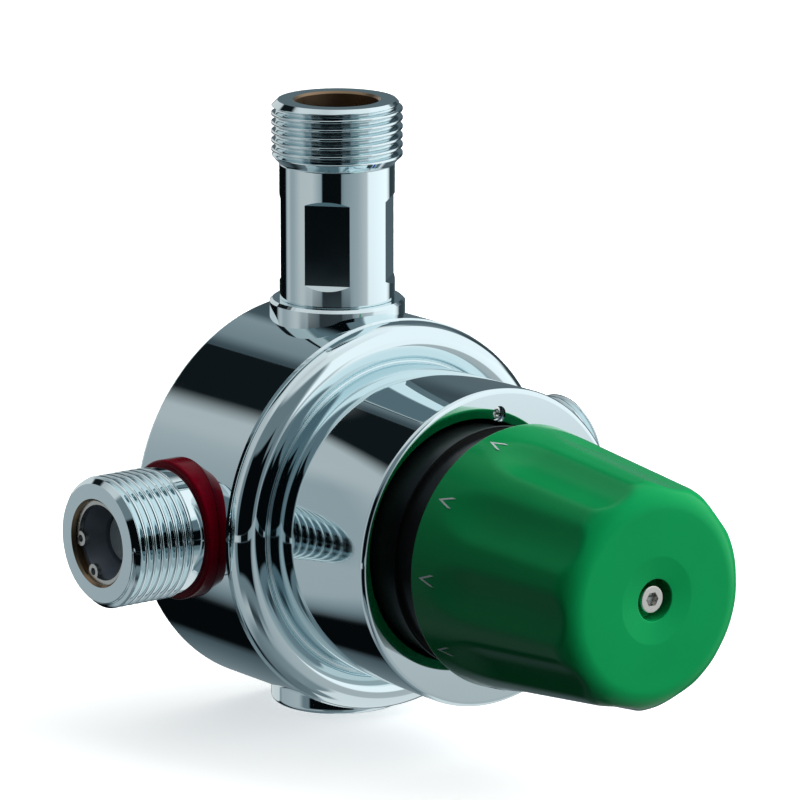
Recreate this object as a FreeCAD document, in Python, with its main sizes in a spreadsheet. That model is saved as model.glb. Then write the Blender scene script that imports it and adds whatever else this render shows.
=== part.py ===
import FreeCAD, Part
import Sketcher
import math
import os
import re

# Thermostatic mixing valve. Millimetres, +Z up.
# The origin is where the axes of the two inlets (X), the outlet (Z) and the control (Y) cross.
# The control knob faces -Y, the hot inlet is at -X, the cold inlet at +X, the outlet at +Z.
# Places along Y are written "y", places along X "x" and places along Z "z".

SIZES = {
    # cast drum
    "drum_radius": 40.0,
    "drum_rear_y": 15.0,
    "drum_front_y": -16.6,
    "drum_rear_edge": 1.2,
    "drum_front_edge": 0.4,
    "rear_wall": 3.0,
    # bosses above and below the drum
    "boss_radius": 13.7,
    "boss_height": 1.9,
    "boss_chamfer": 0.6,
    "blank_edge": 1.3,
    # bores in the drum
    "cartridge_bore": 17.0,
    "chamber_bore": 14.0,
    "gallery_radius": 20.5,
    "gallery_width": 4.2,
    "hot_gallery_y": -8.1,
    "cold_gallery_y": -0.9,
    "ledge_y": 4.2,
    "land_y": -14.0,
    "cover_socket_wall": 6.0,
    "cover_socket_width": 5.2,
    "cover_socket_y": -11.8,
    "port_radius": 9.95,
    "port_depth": 13.0,
    "outlet_depth": 19.4,
    "passage_width": 3.6,
    "passage_height": 12.0,
    "outlet_passage_y": 7.5,
    "outlet_passage_width": 4.6,
    "outlet_passage_span": 14.0,
    # front cover with its collar
    "cover_clearance": 0.1,
    "spigot_length": 2.8,
    "spigot_wall": 4.9,
    "cover_seal_cord": 1.0,
    "rim_step": 0.3,
    "rim_chamfer": 0.4,
    "bead_radius": 4.05,
    "bead_y": -17.2,
    "collar_step": 8.1,
    "collar_flare": 0.5,
    "collar_front_y": -50.5,
    "collar_edge": 0.9,
    "collar_wall": 7.4,
    "floor_thick": 4.4,
    "index_inset": 5.15,
    "index_turn": 3.4,
    "index_hole_depth": 7.0,
    "index_screw_radius": 1.5,
    "index_clearance": 0.1,
    "index_screw_length": 5.0,
    "index_recess": 0.9,
    "index_hex": 1.5,
    # pipe threads, drawn at their major radius
    "thread_radius": 13.22,
    "thread_chamfer": 1.3,
    "spigot_radius": 9.9,
    "seal_thick": 1.6,
    "seal_inner": 7.4,
    # outlet connector
    "outlet_length": 40.5,
    "outlet_thread": 12.8,
    "outlet_tube_radius": 11.64,
    "outlet_bore": 8.35,
    "mouth_chamfer": 0.45,
    "flats_across": 21.4,
    "flats_low": 4.4,
    "flats_high": 20.7,
    "flats_turn": 42.2,
    # inlet connectors
    "inlet_length": 19.6,
    "inlet_thread": 14.3,
    "inlet_neck_step": 0.32,
    "marker_thick": 2.2,
    "inlet_bore": 8.47,
    "inlet_step": 15.6,
    "inlet_inner_bore": 7.2,
    "clip_inset": 1.5,
    "clip_thick": 1.0,
    "clip_groove_depth": 0.83,
    "groove_clearance": 0.1,
    # marker rings
    "marker_radius": 14.1,
    "marker_edge": 0.6,
    # retaining clips in the inlets
    "clip_width": 1.6,
    "clip_gap_angle": 44.0,
    "clip_lug_centre": 7.05,
    "clip_lug_radius": 1.5,
    "clip_lug_hole": 0.75,
    "clip_lug_angle": 31.0,
    "clip_turn": -35.6,
    # check valves
    "check_clearance": 0.17,
    "check_mouth_radius": 7.5,
    "check_throat_radius": 5.4,
    "check_throat": 2.4,
    "check_seat": 7.2,
    "check_room_radius": 6.5,
    "check_web": 1.2,
    "check_ways": 1.4,
    "check_way_centre": 4.0,
    "check_seal": 3.6,
    "check_seal_width": 1.4,
    "check_seal_depth": 0.85,
    "check_seal_cord": 0.5,
    "guide_radius": 1.2,
    "poppet_nose_radius": 5.1,
    "poppet_nose": 2.0,
    "poppet_flange_radius": 5.8,
    "poppet_flange": 1.2,
    "poppet_stem_radius": 1.1,
    "poppet_lead": 0.8,
    "poppet_travel": 3.0,
    "check_spring_radius": 2.6,
    "check_spring_wire": 0.3,
    # cartridge sleeve, seat and shuttle
    "sleeve_clearance": 0.1,
    "sleeve_wall": 4.4,
    "sleeve_lip": 10.6,
    "cold_seat_y": 1.3,
    "hot_seat_y": -10.0,
    "hot_seat_inner": 10.2,
    "window_width": 3.6,
    "window_span": 7.0,
    "seal_groove_width": 2.0,
    "seal_groove_depth": 1.3,
    "seal_cord": 0.68,
    "rear_seal_y": 2.8,
    "middle_seal_y": -4.5,
    "front_seal_y": -12.2,
    "shuttle_clearance": 0.2,
    "shuttle_wall": 1.5,
    "shuttle_front_y": -7.9,
    "shuttle_rear_y": 1.2,
    "shuttle_web_y": -4.0,
    "shuttle_web": 2.0,
    "shuttle_ways": 1.9,
    "shuttle_way_centre": 8.2,
    "shuttle_seal_y": -3.4,
    "shuttle_seal_width": 1.4,
    "shuttle_seal_depth": 1.0,
    "shuttle_seal_cord": 0.55,
    # wax element
    "capsule_radius": 5.5,
    "capsule_rear_y": 9.0,
    "element_flange_radius": 7.5,
    "element_flange": 2.0,
    "element_guide_radius": 3.6,
    "element_guide": 3.5,
    "piston_radius": 2.0,
    "piston_front_y": -19.2,
    "return_spring_radius": 7.7,
    "return_spring_wire": 0.7,
    # bonnet
    "bonnet_flange_clearance": 2.0,
    "bonnet_radius": 16.5,
    "bonnet_front_y": -41.0,
    "bonnet_wall": 2.4,
    "bonnet_neck_radius": 10.0,
    "bonnet_neck_y": -54.0,
    "bonnet_key_across": 17.0,
    "bonnet_key": 8.4,
    "spindle_seal_y": -46.0,
    "spindle_seal_depth": 1.22,
    "spindle_seal_width": 1.7,
    "spindle_seal_cord": 0.6,
    # regulating nut and its overload spring
    "nut_radius": 11.6,
    "nut_across": 20.0,
    "nut_key_clearance": 0.2,
    "nut_front_y": -34.4,
    "nut_rear_y": -14.4,
    "nut_room_radius": 8.2,
    "nut_room_y": -26.5,
    "nut_clip_y": -15.7,
    "nut_clip_thick": 1.0,
    "nut_clip_depth": 0.6,
    "nut_clip_inner": 6.2,
    "plunger_flange": 1.9,
    "plunger_clearance": 0.2,
    "plunger_stem_radius": 4.4,
    "plunger_stem": 3.6,
    "plunger_socket": 3.0,
    "overload_spring_radius": 6.2,
    "overload_spring_wire": 0.8,
    # spindle
    "spindle_radius": 6.0,
    "spindle_running": 0.08,
    "spindle_flange_radius": 9.0,
    "spindle_flange": 1.8,
    "spindle_thread_radius": 5.0,
    "spindle_inner_y": -28.2,
    "spindle_drive_step": 1.1,
    "spindle_drive_across": 8.4,
    "spindle_shoulder": 7.0,
    "spindle_clip_gap_y": 0.2,
    "spindle_clip_thick": 1.0,
    "spindle_clip_depth": 0.8,
    "spindle_clip_radius": 7.8,
    "spindle_clip_gap": 8.0,
    # stop ring behind the knob
    "stop_disc": 3.0,
    "stop_disc_inset": 0.7,
    "stop_disc_clearance": 0.2,
    "stop_sleeve_clearance": 1.05,
    "stop_sleeve_wall": 2.4,
    "stop_sleeve_y": -60.0,
    "stop_lug_inner": 12.0,
    "stop_lug_outer": 17.0,
    "stop_lug_height": 6.6,
    "stop_lug_angle": 99.0,
    "stop_lug_centre": 180.0,
    # knob
    "knob_rear_y": -58.2,
    "knob_front_y": -101.0,
    "knob_overlap": 2.25,
    "knob_taper": 0.097,
    "knob_corner": 5.2,
    "knob_wall": 2.0,
    "knob_top": 3.2,
    "knob_rear_edge": 0.5,
    "knob_recess_radius": 4.13,
    "knob_recess": 4.3,
    "knob_dish_radius": 8.6,
    "knob_dish": 0.5,
    "hub_radius": 8.0,
    "hub_seat": 2.2,
    "hub_rear_y": -62.0,
    "drive_clearance": 0.1,
    "lug_disc_radius": 16.5,
    "lug_disc": 3.0,
    "lug_disc_y": -63.0,
    "lug_inner": 12.4,
    "lug_angle": 15.0,
    "lug_tip_y": -50.4,
    "lug_gap": 0.5,
    "flute_count": 10,
    "flute_turn": 15.8,
    "flute_depth": 1.0,
    "flute_radius": 24.0,
    "flute_half_width": 9.0,
    "flute_start_y": -67.0,
    "flute_run_radius": 20.0,
    "flute_run_rise": 4.0,
    # knob screw
    "screw_head_radius": 2.75,
    "screw_head": 3.0,
    "screw_radius": 1.5,
    "screw_length": 12.0,
    "screw_hex": 2.5,
    "screw_hex_depth": 1.5,
    "screw_clearance": 0.1,
}

# Sizes that follow from those above. Each may use the sheet's cells and the lines before it.
WORKED_OUT = {
    "boss_end_z": "drum_radius + boss_height",
    "cover_socket_radius": "drum_radius - cover_socket_wall",
    "cover_socket_inner": "cover_socket_radius - cover_socket_width",
    "port_floor": "drum_radius - port_depth",
    "outlet_floor": "boss_end_z - outlet_depth",
    "spigot_inner": "cover_socket_radius - cover_clearance - spigot_wall",
    "rim_radius": "drum_radius - rim_step",
    "collar_root_radius": "rim_radius - collar_step",
    "collar_front_radius": "collar_root_radius + collar_flare",
    "collar_bore": "collar_root_radius - collar_wall",
    "index_radius": "collar_front_radius - index_inset",
    "index_across": "index_radius * sin(index_turn)",
    "index_up": "index_radius * cos(index_turn)",
    "index_hole_radius": "index_screw_radius + index_clearance",
    "bonnet_flange_radius": "spigot_inner - bonnet_flange_clearance",
    "outlet_top_z": "boss_end_z + outlet_length",
    "outlet_thread_z": "outlet_top_z - outlet_thread",
    "flats_low_z": "boss_end_z + flats_low",
    "flats_high_z": "boss_end_z + flats_high",
    "inlet_face_x": "drum_radius + inlet_length",
    "inlet_thread_x": "inlet_face_x - inlet_thread",
    "inlet_neck_radius": "thread_radius - inlet_neck_step",
    "inlet_neck_x": "drum_radius + marker_thick",
    "inlet_step_x": "inlet_face_x - inlet_step",
    "clip_x": "inlet_face_x - clip_inset",
    "clip_groove_radius": "inlet_bore + clip_groove_depth",
    "clip_inner_radius": "clip_groove_radius - groove_clearance - clip_width",
    "check_radius": "inlet_bore - check_clearance",
    "check_seat_x": "inlet_step_x + check_seat",
    "check_throat_x": "check_seat_x + check_throat",
    "check_seal_x": "inlet_step_x + check_seal",
    "check_seal_floor": "check_radius - check_seal_depth",
    "poppet_nose_x": "check_seat_x + poppet_nose",
    "sleeve_bore": "cartridge_bore - sleeve_clearance - sleeve_wall",
    "seal_groove_floor": "cartridge_bore - sleeve_clearance - seal_groove_depth",
    "shuttle_radius": "sleeve_bore - shuttle_clearance",
    "shuttle_seal_floor": "shuttle_radius - shuttle_seal_depth",
    "spindle_seal_floor": "spindle_radius + spindle_running + spindle_seal_depth",
    "nut_clip_groove": "nut_room_radius + nut_clip_depth",
    "plunger_radius": "nut_room_radius - plunger_clearance",
    "spindle_drive_radius": "spindle_radius - spindle_drive_step",
    "spindle_shoulder_y": "bonnet_neck_y - spindle_shoulder",
    "spindle_clip_y": "bonnet_neck_y - spindle_clip_gap_y - groove_clearance - spindle_clip_thick / 2",
    "spindle_clip_floor": "spindle_radius - spindle_clip_depth",
    "stop_disc_y": "collar_front_y + stop_disc_inset",
    "stop_disc_radius": "collar_bore - stop_disc_clearance",
    "poppet_rear_x": "check_seat_x - groove_clearance - poppet_flange",
    "plunger_rear_y": "nut_clip_y - nut_clip_thick / 2 - groove_clearance",
    "knob_rear_radius": "collar_bore + knob_overlap",
    "knob_front_radius": "knob_rear_radius - knob_taper * (knob_rear_y - knob_front_y)",
    "stop_sleeve_radius": "knob_rear_radius - knob_wall - stop_sleeve_clearance",
    "screw_seat_y": "knob_front_y + knob_recess",
}

doc = FreeCAD.newDocument("mixing_valve")
sheet = doc.addObject("Spreadsheet::Sheet", "Sizes")
for row, (alias, number) in enumerate(SIZES.items(), start=1):
    sheet.set(f"A{row}", alias)
    sheet.set(f"B{row}", str(number))
    sheet.setAlias(f"B{row}", alias)
for row, (alias, text) in enumerate(WORKED_OUT.items(), start=len(SIZES) + 1):
    sheet.set(f"A{row}", alias)
    sheet.set(f"B{row}", "=" + text)
    sheet.setAlias(f"B{row}", alias)
doc.recompute()
CELLS = [*SIZES, *WORKED_OUT]

WORD = re.compile(r"[a-z][a-z_]*")


def bound(text):
    """An expression on the sheet's cells: each alias gets the sheet's name before it."""
    return WORD.sub(lambda word: "Sizes." + word.group(0) if word.group(0) in CELLS else word.group(0), text)


def size(text):
    """The number that an expression on the sheet's cells gives."""
    return float(sheet.evalExpression(bound(text)))


def origin_part(body, role):
    """One of a body's own origin planes or axes."""
    return next(part for part in body.Origin.OriginFeatures if part.Role == role)


def new_body(label):
    body = doc.addObject("PartDesign::Body", label)
    body.Label = label
    return body


def new_sketch(body, plane):
    sketch = body.newObject("Sketcher::SketchObject", body.Name + "_sketch")
    sketch.AttachmentSupport = [(origin_part(body, plane + "_Plane"), "")]
    sketch.MapMode = "FlatFace"
    return sketch


def drive(sketch, kind, *place, text):
    """A dimension of a sketch, driven by an expression on the sheet."""
    index = sketch.addConstraint(Sketcher.Constraint(kind, *place, size(text)))
    sketch.setExpression(f"Constraints[{index}]", bound(text))


def add_outline(sketch, points):
    """A closed straight-sided outline. Each corner is a pair of expressions."""
    first = len(sketch.Geometry)
    count = len(points)
    turn = 2 * math.pi / count
    rough = [FreeCAD.Vector(10 * math.cos(turn * k), 10 * math.sin(turn * k), 0) for k in range(count)]
    for k in range(count):
        sketch.addGeometry(Part.LineSegment(rough[k], rough[(k + 1) % count]))
    for k in range(count):
        sketch.addConstraint(Sketcher.Constraint("Coincident", first + k, 2, first + (k + 1) % count, 1))
    for k, (across, up) in enumerate(points):
        drive(sketch, "DistanceX", first + k, 1, text=across)
        drive(sketch, "DistanceY", first + k, 1, text=up)


def add_circle(sketch, across, up, radius):
    index = sketch.addGeometry(Part.Circle(FreeCAD.Vector(1, 1, 0), FreeCAD.Vector(0, 0, 1), 1.0))
    drive(sketch, "DistanceX", index, 3, text=across)
    drive(sketch, "DistanceY", index, 3, text=up)
    drive(sketch, "Radius", index, text=radius)


def add_arc(sketch, across, up, radius, start, end):
    """An arc about a centre, from one angle to another, in degrees. Returns its number."""
    circle = Part.Circle(FreeCAD.Vector(across, up, 0), FreeCAD.Vector(0, 0, 1), radius)
    return sketch.addGeometry(Part.ArcOfCircle(circle, math.radians(start), math.radians(end)))


def feature(body, kind, sketch, **settings):
    made = body.newObject("PartDesign::" + kind, body.Name + "_" + kind.lower())
    made.Profile = sketch
    for name, value in settings.items():
        setattr(made, name, value)
    return made


def turned_sketch(body, axis, outline):
    """A half section, given as (place along the axis, radius). Returns the sketch and its axis."""
    if axis == "X":
        sketch = new_sketch(body, "XY")
        add_outline(sketch, outline)
        return sketch, "H_Axis"
    sketch = new_sketch(body, "XY" if axis == "Y" else "XZ")
    add_outline(sketch, [(radius, along) for along, radius in outline])
    return sketch, "V_Axis"


def turn(body, axis, outline):
    sketch, line = turned_sketch(body, axis, outline)
    return feature(body, "Revolution", sketch, ReferenceAxis=(sketch, [line]), Angle=360)


def bore(body, axis, outline):
    """Cuts a turned form out of the body, and makes sure that it took material away."""
    doc.recompute()
    before = body.Shape.Volume
    sketch, line = turned_sketch(body, axis, outline)
    cut = feature(body, "Groove", sketch, ReferenceAxis=(sketch, [line]), Angle=360)
    doc.recompute()
    assert body.Shape.Volume < before, body.Label + ": a bore took nothing away"
    return cut


def prism(body, kind, sketch, length):
    """A pad or pocket that runs the same distance to both sides of its sketch."""
    doc.recompute()
    before = body.Shape.Volume if body.Tip else 0.0
    made = feature(body, kind, sketch, Midplane=True)
    made.setExpression("Length", bound(length))
    doc.recompute()
    grew = body.Shape.Volume > before
    assert grew == (kind == "Pad"), body.Label + ": a pad or pocket went the wrong way"
    return made


def shift(sketch, text):
    """Moves a sketch's plane along its own normal."""
    sketch.setExpression("AttachmentOffset.Base.z", bound(text))


def block(low, high, across_low, across_high):
    """The four corners of a rectangle, as expressions."""
    return [(low, across_low), (high, across_low), (high, across_high), (low, across_high)]


def repeat(body, made, axis, count):
    """Copies a feature round one of the body's axes. The count is a cell of the sheet or a number."""
    pattern = body.newObject("PartDesign::PolarPattern", body.Name + "_pattern")
    pattern.Originals = [made]
    pattern.Axis = (origin_part(body, axis + "_Axis"), [""])
    pattern.Angle = 360
    pattern.Occurrences = int(count)
    body.Tip = pattern
    doc.recompute()
    return pattern


def rims(body, axis, places):
    """Names of the round edges at each (place along the axis, radius)."""
    doc.recompute()
    found = []
    for number, edge in enumerate(body.Shape.Edges, start=1):
        if edge.Curve.TypeId != "Part::GeomCircle":
            continue
        centre = getattr(edge.Curve.Center, axis.lower())
        radius = edge.Curve.Radius
        if any(abs(centre - along) < 0.001 and abs(radius - wide) < 0.001 for along, wide in places):
            found.append(f"Edge{number}")
    assert found, body.Label + ": no edge to finish"
    return found


def finish_edges(body, kind, edges, text):
    """A fillet or a chamfer on named edges of the body's last feature."""
    made = body.newObject("PartDesign::" + kind, body.Name + "_" + kind.lower())
    made.Base = (body.Tip, edges) if body.Tip != made else (body.Group[-2], edges)
    made.setExpression("Radius" if kind == "Fillet" else "Size", bound(text))
    doc.recompute()
    return made


def round_ring(label, axis, along, centre_radius, cord_radius):
    """A ring of round section: an elastomer seal."""
    body = new_body(label)
    sketch = new_sketch(body, "XZ" if axis == "Z" else "XY")
    if axis == "X":
        add_circle(sketch, along, centre_radius, cord_radius)
    else:
        add_circle(sketch, centre_radius, along, cord_radius)
    line = "H_Axis" if axis == "X" else "V_Axis"
    feature(body, "Revolution", sketch, ReferenceAxis=(sketch, [line]), Angle=360)
    return body


def coil_spring(label, axis, start, length, centre_radius, wire, turns):
    """A wire spring along X or Y, from one place for a signed length."""
    body = new_body(label)
    sketch = new_sketch(body, "XY")
    if axis == "X":
        add_circle(sketch, start, centre_radius, wire)
    else:
        add_circle(sketch, centre_radius, start, wire)
    helix = body.newObject("PartDesign::AdditiveHelix", label + "_helix")
    helix.Profile = sketch
    helix.ReferenceAxis = (sketch, ["H_Axis" if axis == "X" else "V_Axis"])
    helix.Mode = "height-turns-angle"
    helix.setExpression("Height", bound(length))
    helix.Turns = turns
    return body


# Valve body: a brass casting, a drum across the control axis with a boss above and one below.
# The lower boss is left blank. The cartridge bore opens to the front and has two galleries,
# one for each inlet, and a chamber behind them where the mixed water leaves upwards.
valve_body = new_body("valve_body")
turn(valve_body, "Y", [
    ("drum_front_y", "0"),
    ("drum_rear_y", "0"),
    ("drum_rear_y", "drum_radius"),
    ("drum_front_y", "drum_radius"),
])
bosses = new_sketch(valve_body, "XY")
add_circle(bosses, "0", "0", "boss_radius")
prism(valve_body, "Pad", bosses, "2 * boss_end_z")
finish_edges(valve_body, "Fillet", rims(valve_body, "Y", [(size("drum_rear_y"), size("drum_radius"))]),
             "drum_rear_edge")
finish_edges(valve_body, "Chamfer", rims(valve_body, "Y", [(size("drum_front_y"), size("drum_radius"))]),
             "drum_front_edge")
finish_edges(valve_body, "Chamfer", rims(valve_body, "Z", [(size("boss_end_z"), size("boss_radius"))]),
             "boss_chamfer")
finish_edges(valve_body, "Fillet", rims(valve_body, "Z", [(-size("boss_end_z"), size("boss_radius"))]),
             "blank_edge")
bore(valve_body, "Y", [
    ("drum_rear_y - rear_wall", "0"),
    ("drum_rear_y - rear_wall", "chamber_bore"),
    ("ledge_y", "chamber_bore"),
    ("ledge_y", "cartridge_bore"),
    ("cold_gallery_y + gallery_width / 2", "cartridge_bore"),
    ("cold_gallery_y + gallery_width / 2", "gallery_radius"),
    ("cold_gallery_y - gallery_width / 2", "gallery_radius"),
    ("cold_gallery_y - gallery_width / 2", "cartridge_bore"),
    ("hot_gallery_y + gallery_width / 2", "cartridge_bore"),
    ("hot_gallery_y + gallery_width / 2", "gallery_radius"),
    ("hot_gallery_y - gallery_width / 2", "gallery_radius"),
    ("hot_gallery_y - gallery_width / 2", "cartridge_bore"),
    ("land_y", "cartridge_bore"),
    ("land_y", "cover_socket_inner"),
    ("cover_socket_y", "cover_socket_inner"),
    ("cover_socket_y", "cover_socket_radius"),
    ("drum_front_y - 1", "cover_socket_radius"),
    ("drum_front_y - 1", "0"),
])
bore(valve_body, "Z", block("outlet_floor", "boss_end_z + 1", "0", "port_radius"))
for sign in ("-", ""):
    bore(valve_body, "X", block(sign + "port_floor", sign + "(drum_radius + 1)", "0", "port_radius"))
# passages from the two ports to their galleries, and from the chamber to the outlet
for sign, gallery in (("-", "hot_gallery_y"), ("", "cold_gallery_y")):
    passage = new_sketch(valve_body, "XY")
    add_outline(passage, block(sign + "(port_floor + 1)", sign + "(gallery_radius - 1.5)",
                               gallery + " - passage_width / 2", gallery + " + passage_width / 2"))
    prism(valve_body, "Pocket", passage, "passage_height")
passage = new_sketch(valve_body, "YZ")
add_outline(passage, block("outlet_passage_y - outlet_passage_width / 2",
                           "outlet_passage_y + outlet_passage_width / 2",
                           "chamber_bore - 2.5", "outlet_floor + 1"))
prism(valve_body, "Pocket", passage, "outlet_passage_span")

# Front cover: one turned brass piece, a beaded rim that covers the drum's front and a long collar
# that flares a little to the front. A threaded spigot behind the rim holds it in the drum.
front_cover = new_body("front_cover")
turn(front_cover, "Y", [
    ("drum_front_y + spigot_length", "spigot_inner"),
    ("drum_front_y + spigot_length", "cover_socket_radius - cover_clearance"),
    ("drum_front_y", "cover_socket_radius - cover_clearance"),
    ("drum_front_y", "rim_radius - rim_chamfer"),
    ("bead_y", "rim_radius"),
    ("bead_y", "collar_root_radius"),
    ("collar_front_y", "collar_front_radius"),
    ("collar_front_y", "collar_bore"),
    ("drum_front_y - floor_thick", "collar_bore"),
    ("drum_front_y - floor_thick", "bonnet_radius + cover_clearance"),
    ("drum_front_y", "bonnet_radius + cover_clearance"),
    ("drum_front_y", "spigot_inner"),
])
bead = new_sketch(front_cover, "XY")
centre = size("rim_radius") - size("bead_radius")
arc = add_arc(bead, centre, size("bead_y"), size("bead_radius"), 180, 360)
chord = bead.addGeometry(Part.LineSegment(
    FreeCAD.Vector(centre - size("bead_radius"), size("bead_y"), 0),
    FreeCAD.Vector(centre + size("bead_radius"), size("bead_y"), 0)))
bead.addConstraint(Sketcher.Constraint("Coincident", arc, 1, chord, 1))
bead.addConstraint(Sketcher.Constraint("Coincident", arc, 2, chord, 2))
bead.addConstraint(Sketcher.Constraint("PointOnObject", arc, 3, chord))
bead.addConstraint(Sketcher.Constraint("Horizontal", chord))
drive(bead, "DistanceX", arc, 3, text="rim_radius - bead_radius")
drive(bead, "DistanceY", arc, 3, text="bead_y")
drive(bead, "Radius", arc, text="bead_radius")
feature(front_cover, "Revolution", bead, ReferenceAxis=(bead, ["V_Axis"]), Angle=360)
finish_edges(front_cover, "Fillet",
             rims(front_cover, "Y", [(size("collar_front_y"), size("collar_front_radius"))]), "collar_edge")
index_hole = new_sketch(front_cover, "XZ")
add_circle(index_hole, "index_across", "index_up", "index_hole_radius")
shift(index_hole, "-collar_front_y")
prism(front_cover, "Pocket", index_hole, "2 * index_hole_depth")

index_screw = new_body("index_screw")
turned_screw = new_sketch(index_screw, "XZ")
add_circle(turned_screw, "index_across", "index_up", "index_screw_radius")
shift(turned_screw, "-(collar_front_y + index_recess + index_screw_length / 2)")
prism(index_screw, "Pad", turned_screw, "index_screw_length")

round_ring("cover_seal", "Y", "cover_socket_y - cover_seal_cord", "cover_socket_inner + cover_seal_cord",
           "cover_seal_cord")

# Outlet connector: a turned nipple screwed into the upper boss, with four wrench flats.
outlet_connector = new_body("outlet_connector")
turn(outlet_connector, "Z", [
    ("outlet_floor + seal_thick", "outlet_bore"),
    ("outlet_floor + seal_thick", "spigot_radius"),
    ("boss_end_z", "spigot_radius"),
    ("boss_end_z", "outlet_tube_radius"),
    ("outlet_thread_z", "outlet_tube_radius"),
    ("outlet_thread_z + thread_radius - outlet_tube_radius", "thread_radius"),
    ("outlet_top_z - thread_chamfer", "thread_radius"),
    ("outlet_top_z", "thread_radius - thread_chamfer"),
    ("outlet_top_z", "outlet_bore + mouth_chamfer"),
    ("outlet_top_z - mouth_chamfer", "outlet_bore"),
])
flat = new_sketch(outlet_connector, "XZ")
flat.AttachmentOffset = FreeCAD.Placement(
    FreeCAD.Vector(), FreeCAD.Rotation(FreeCAD.Vector(0, 1, 0), size("flats_turn")))
flat.setExpression("AttachmentOffset.Rotation.Angle", bound("flats_turn"))
add_outline(flat, [
    ("flats_across / 2", "flats_low_z"),
    ("thread_radius", "flats_low_z - thread_radius + flats_across / 2"),
    ("thread_radius", "flats_high_z + thread_radius - flats_across / 2"),
    ("flats_across / 2", "flats_high_z"),
])
repeat(outlet_connector, prism(outlet_connector, "Pocket", flat, "flats_across"), "Z", 4)

outlet_seal = new_body("outlet_seal")
turn(outlet_seal, "Z", block("outlet_floor", "outlet_floor + seal_thick", "seal_inner", "spigot_radius"))


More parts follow.
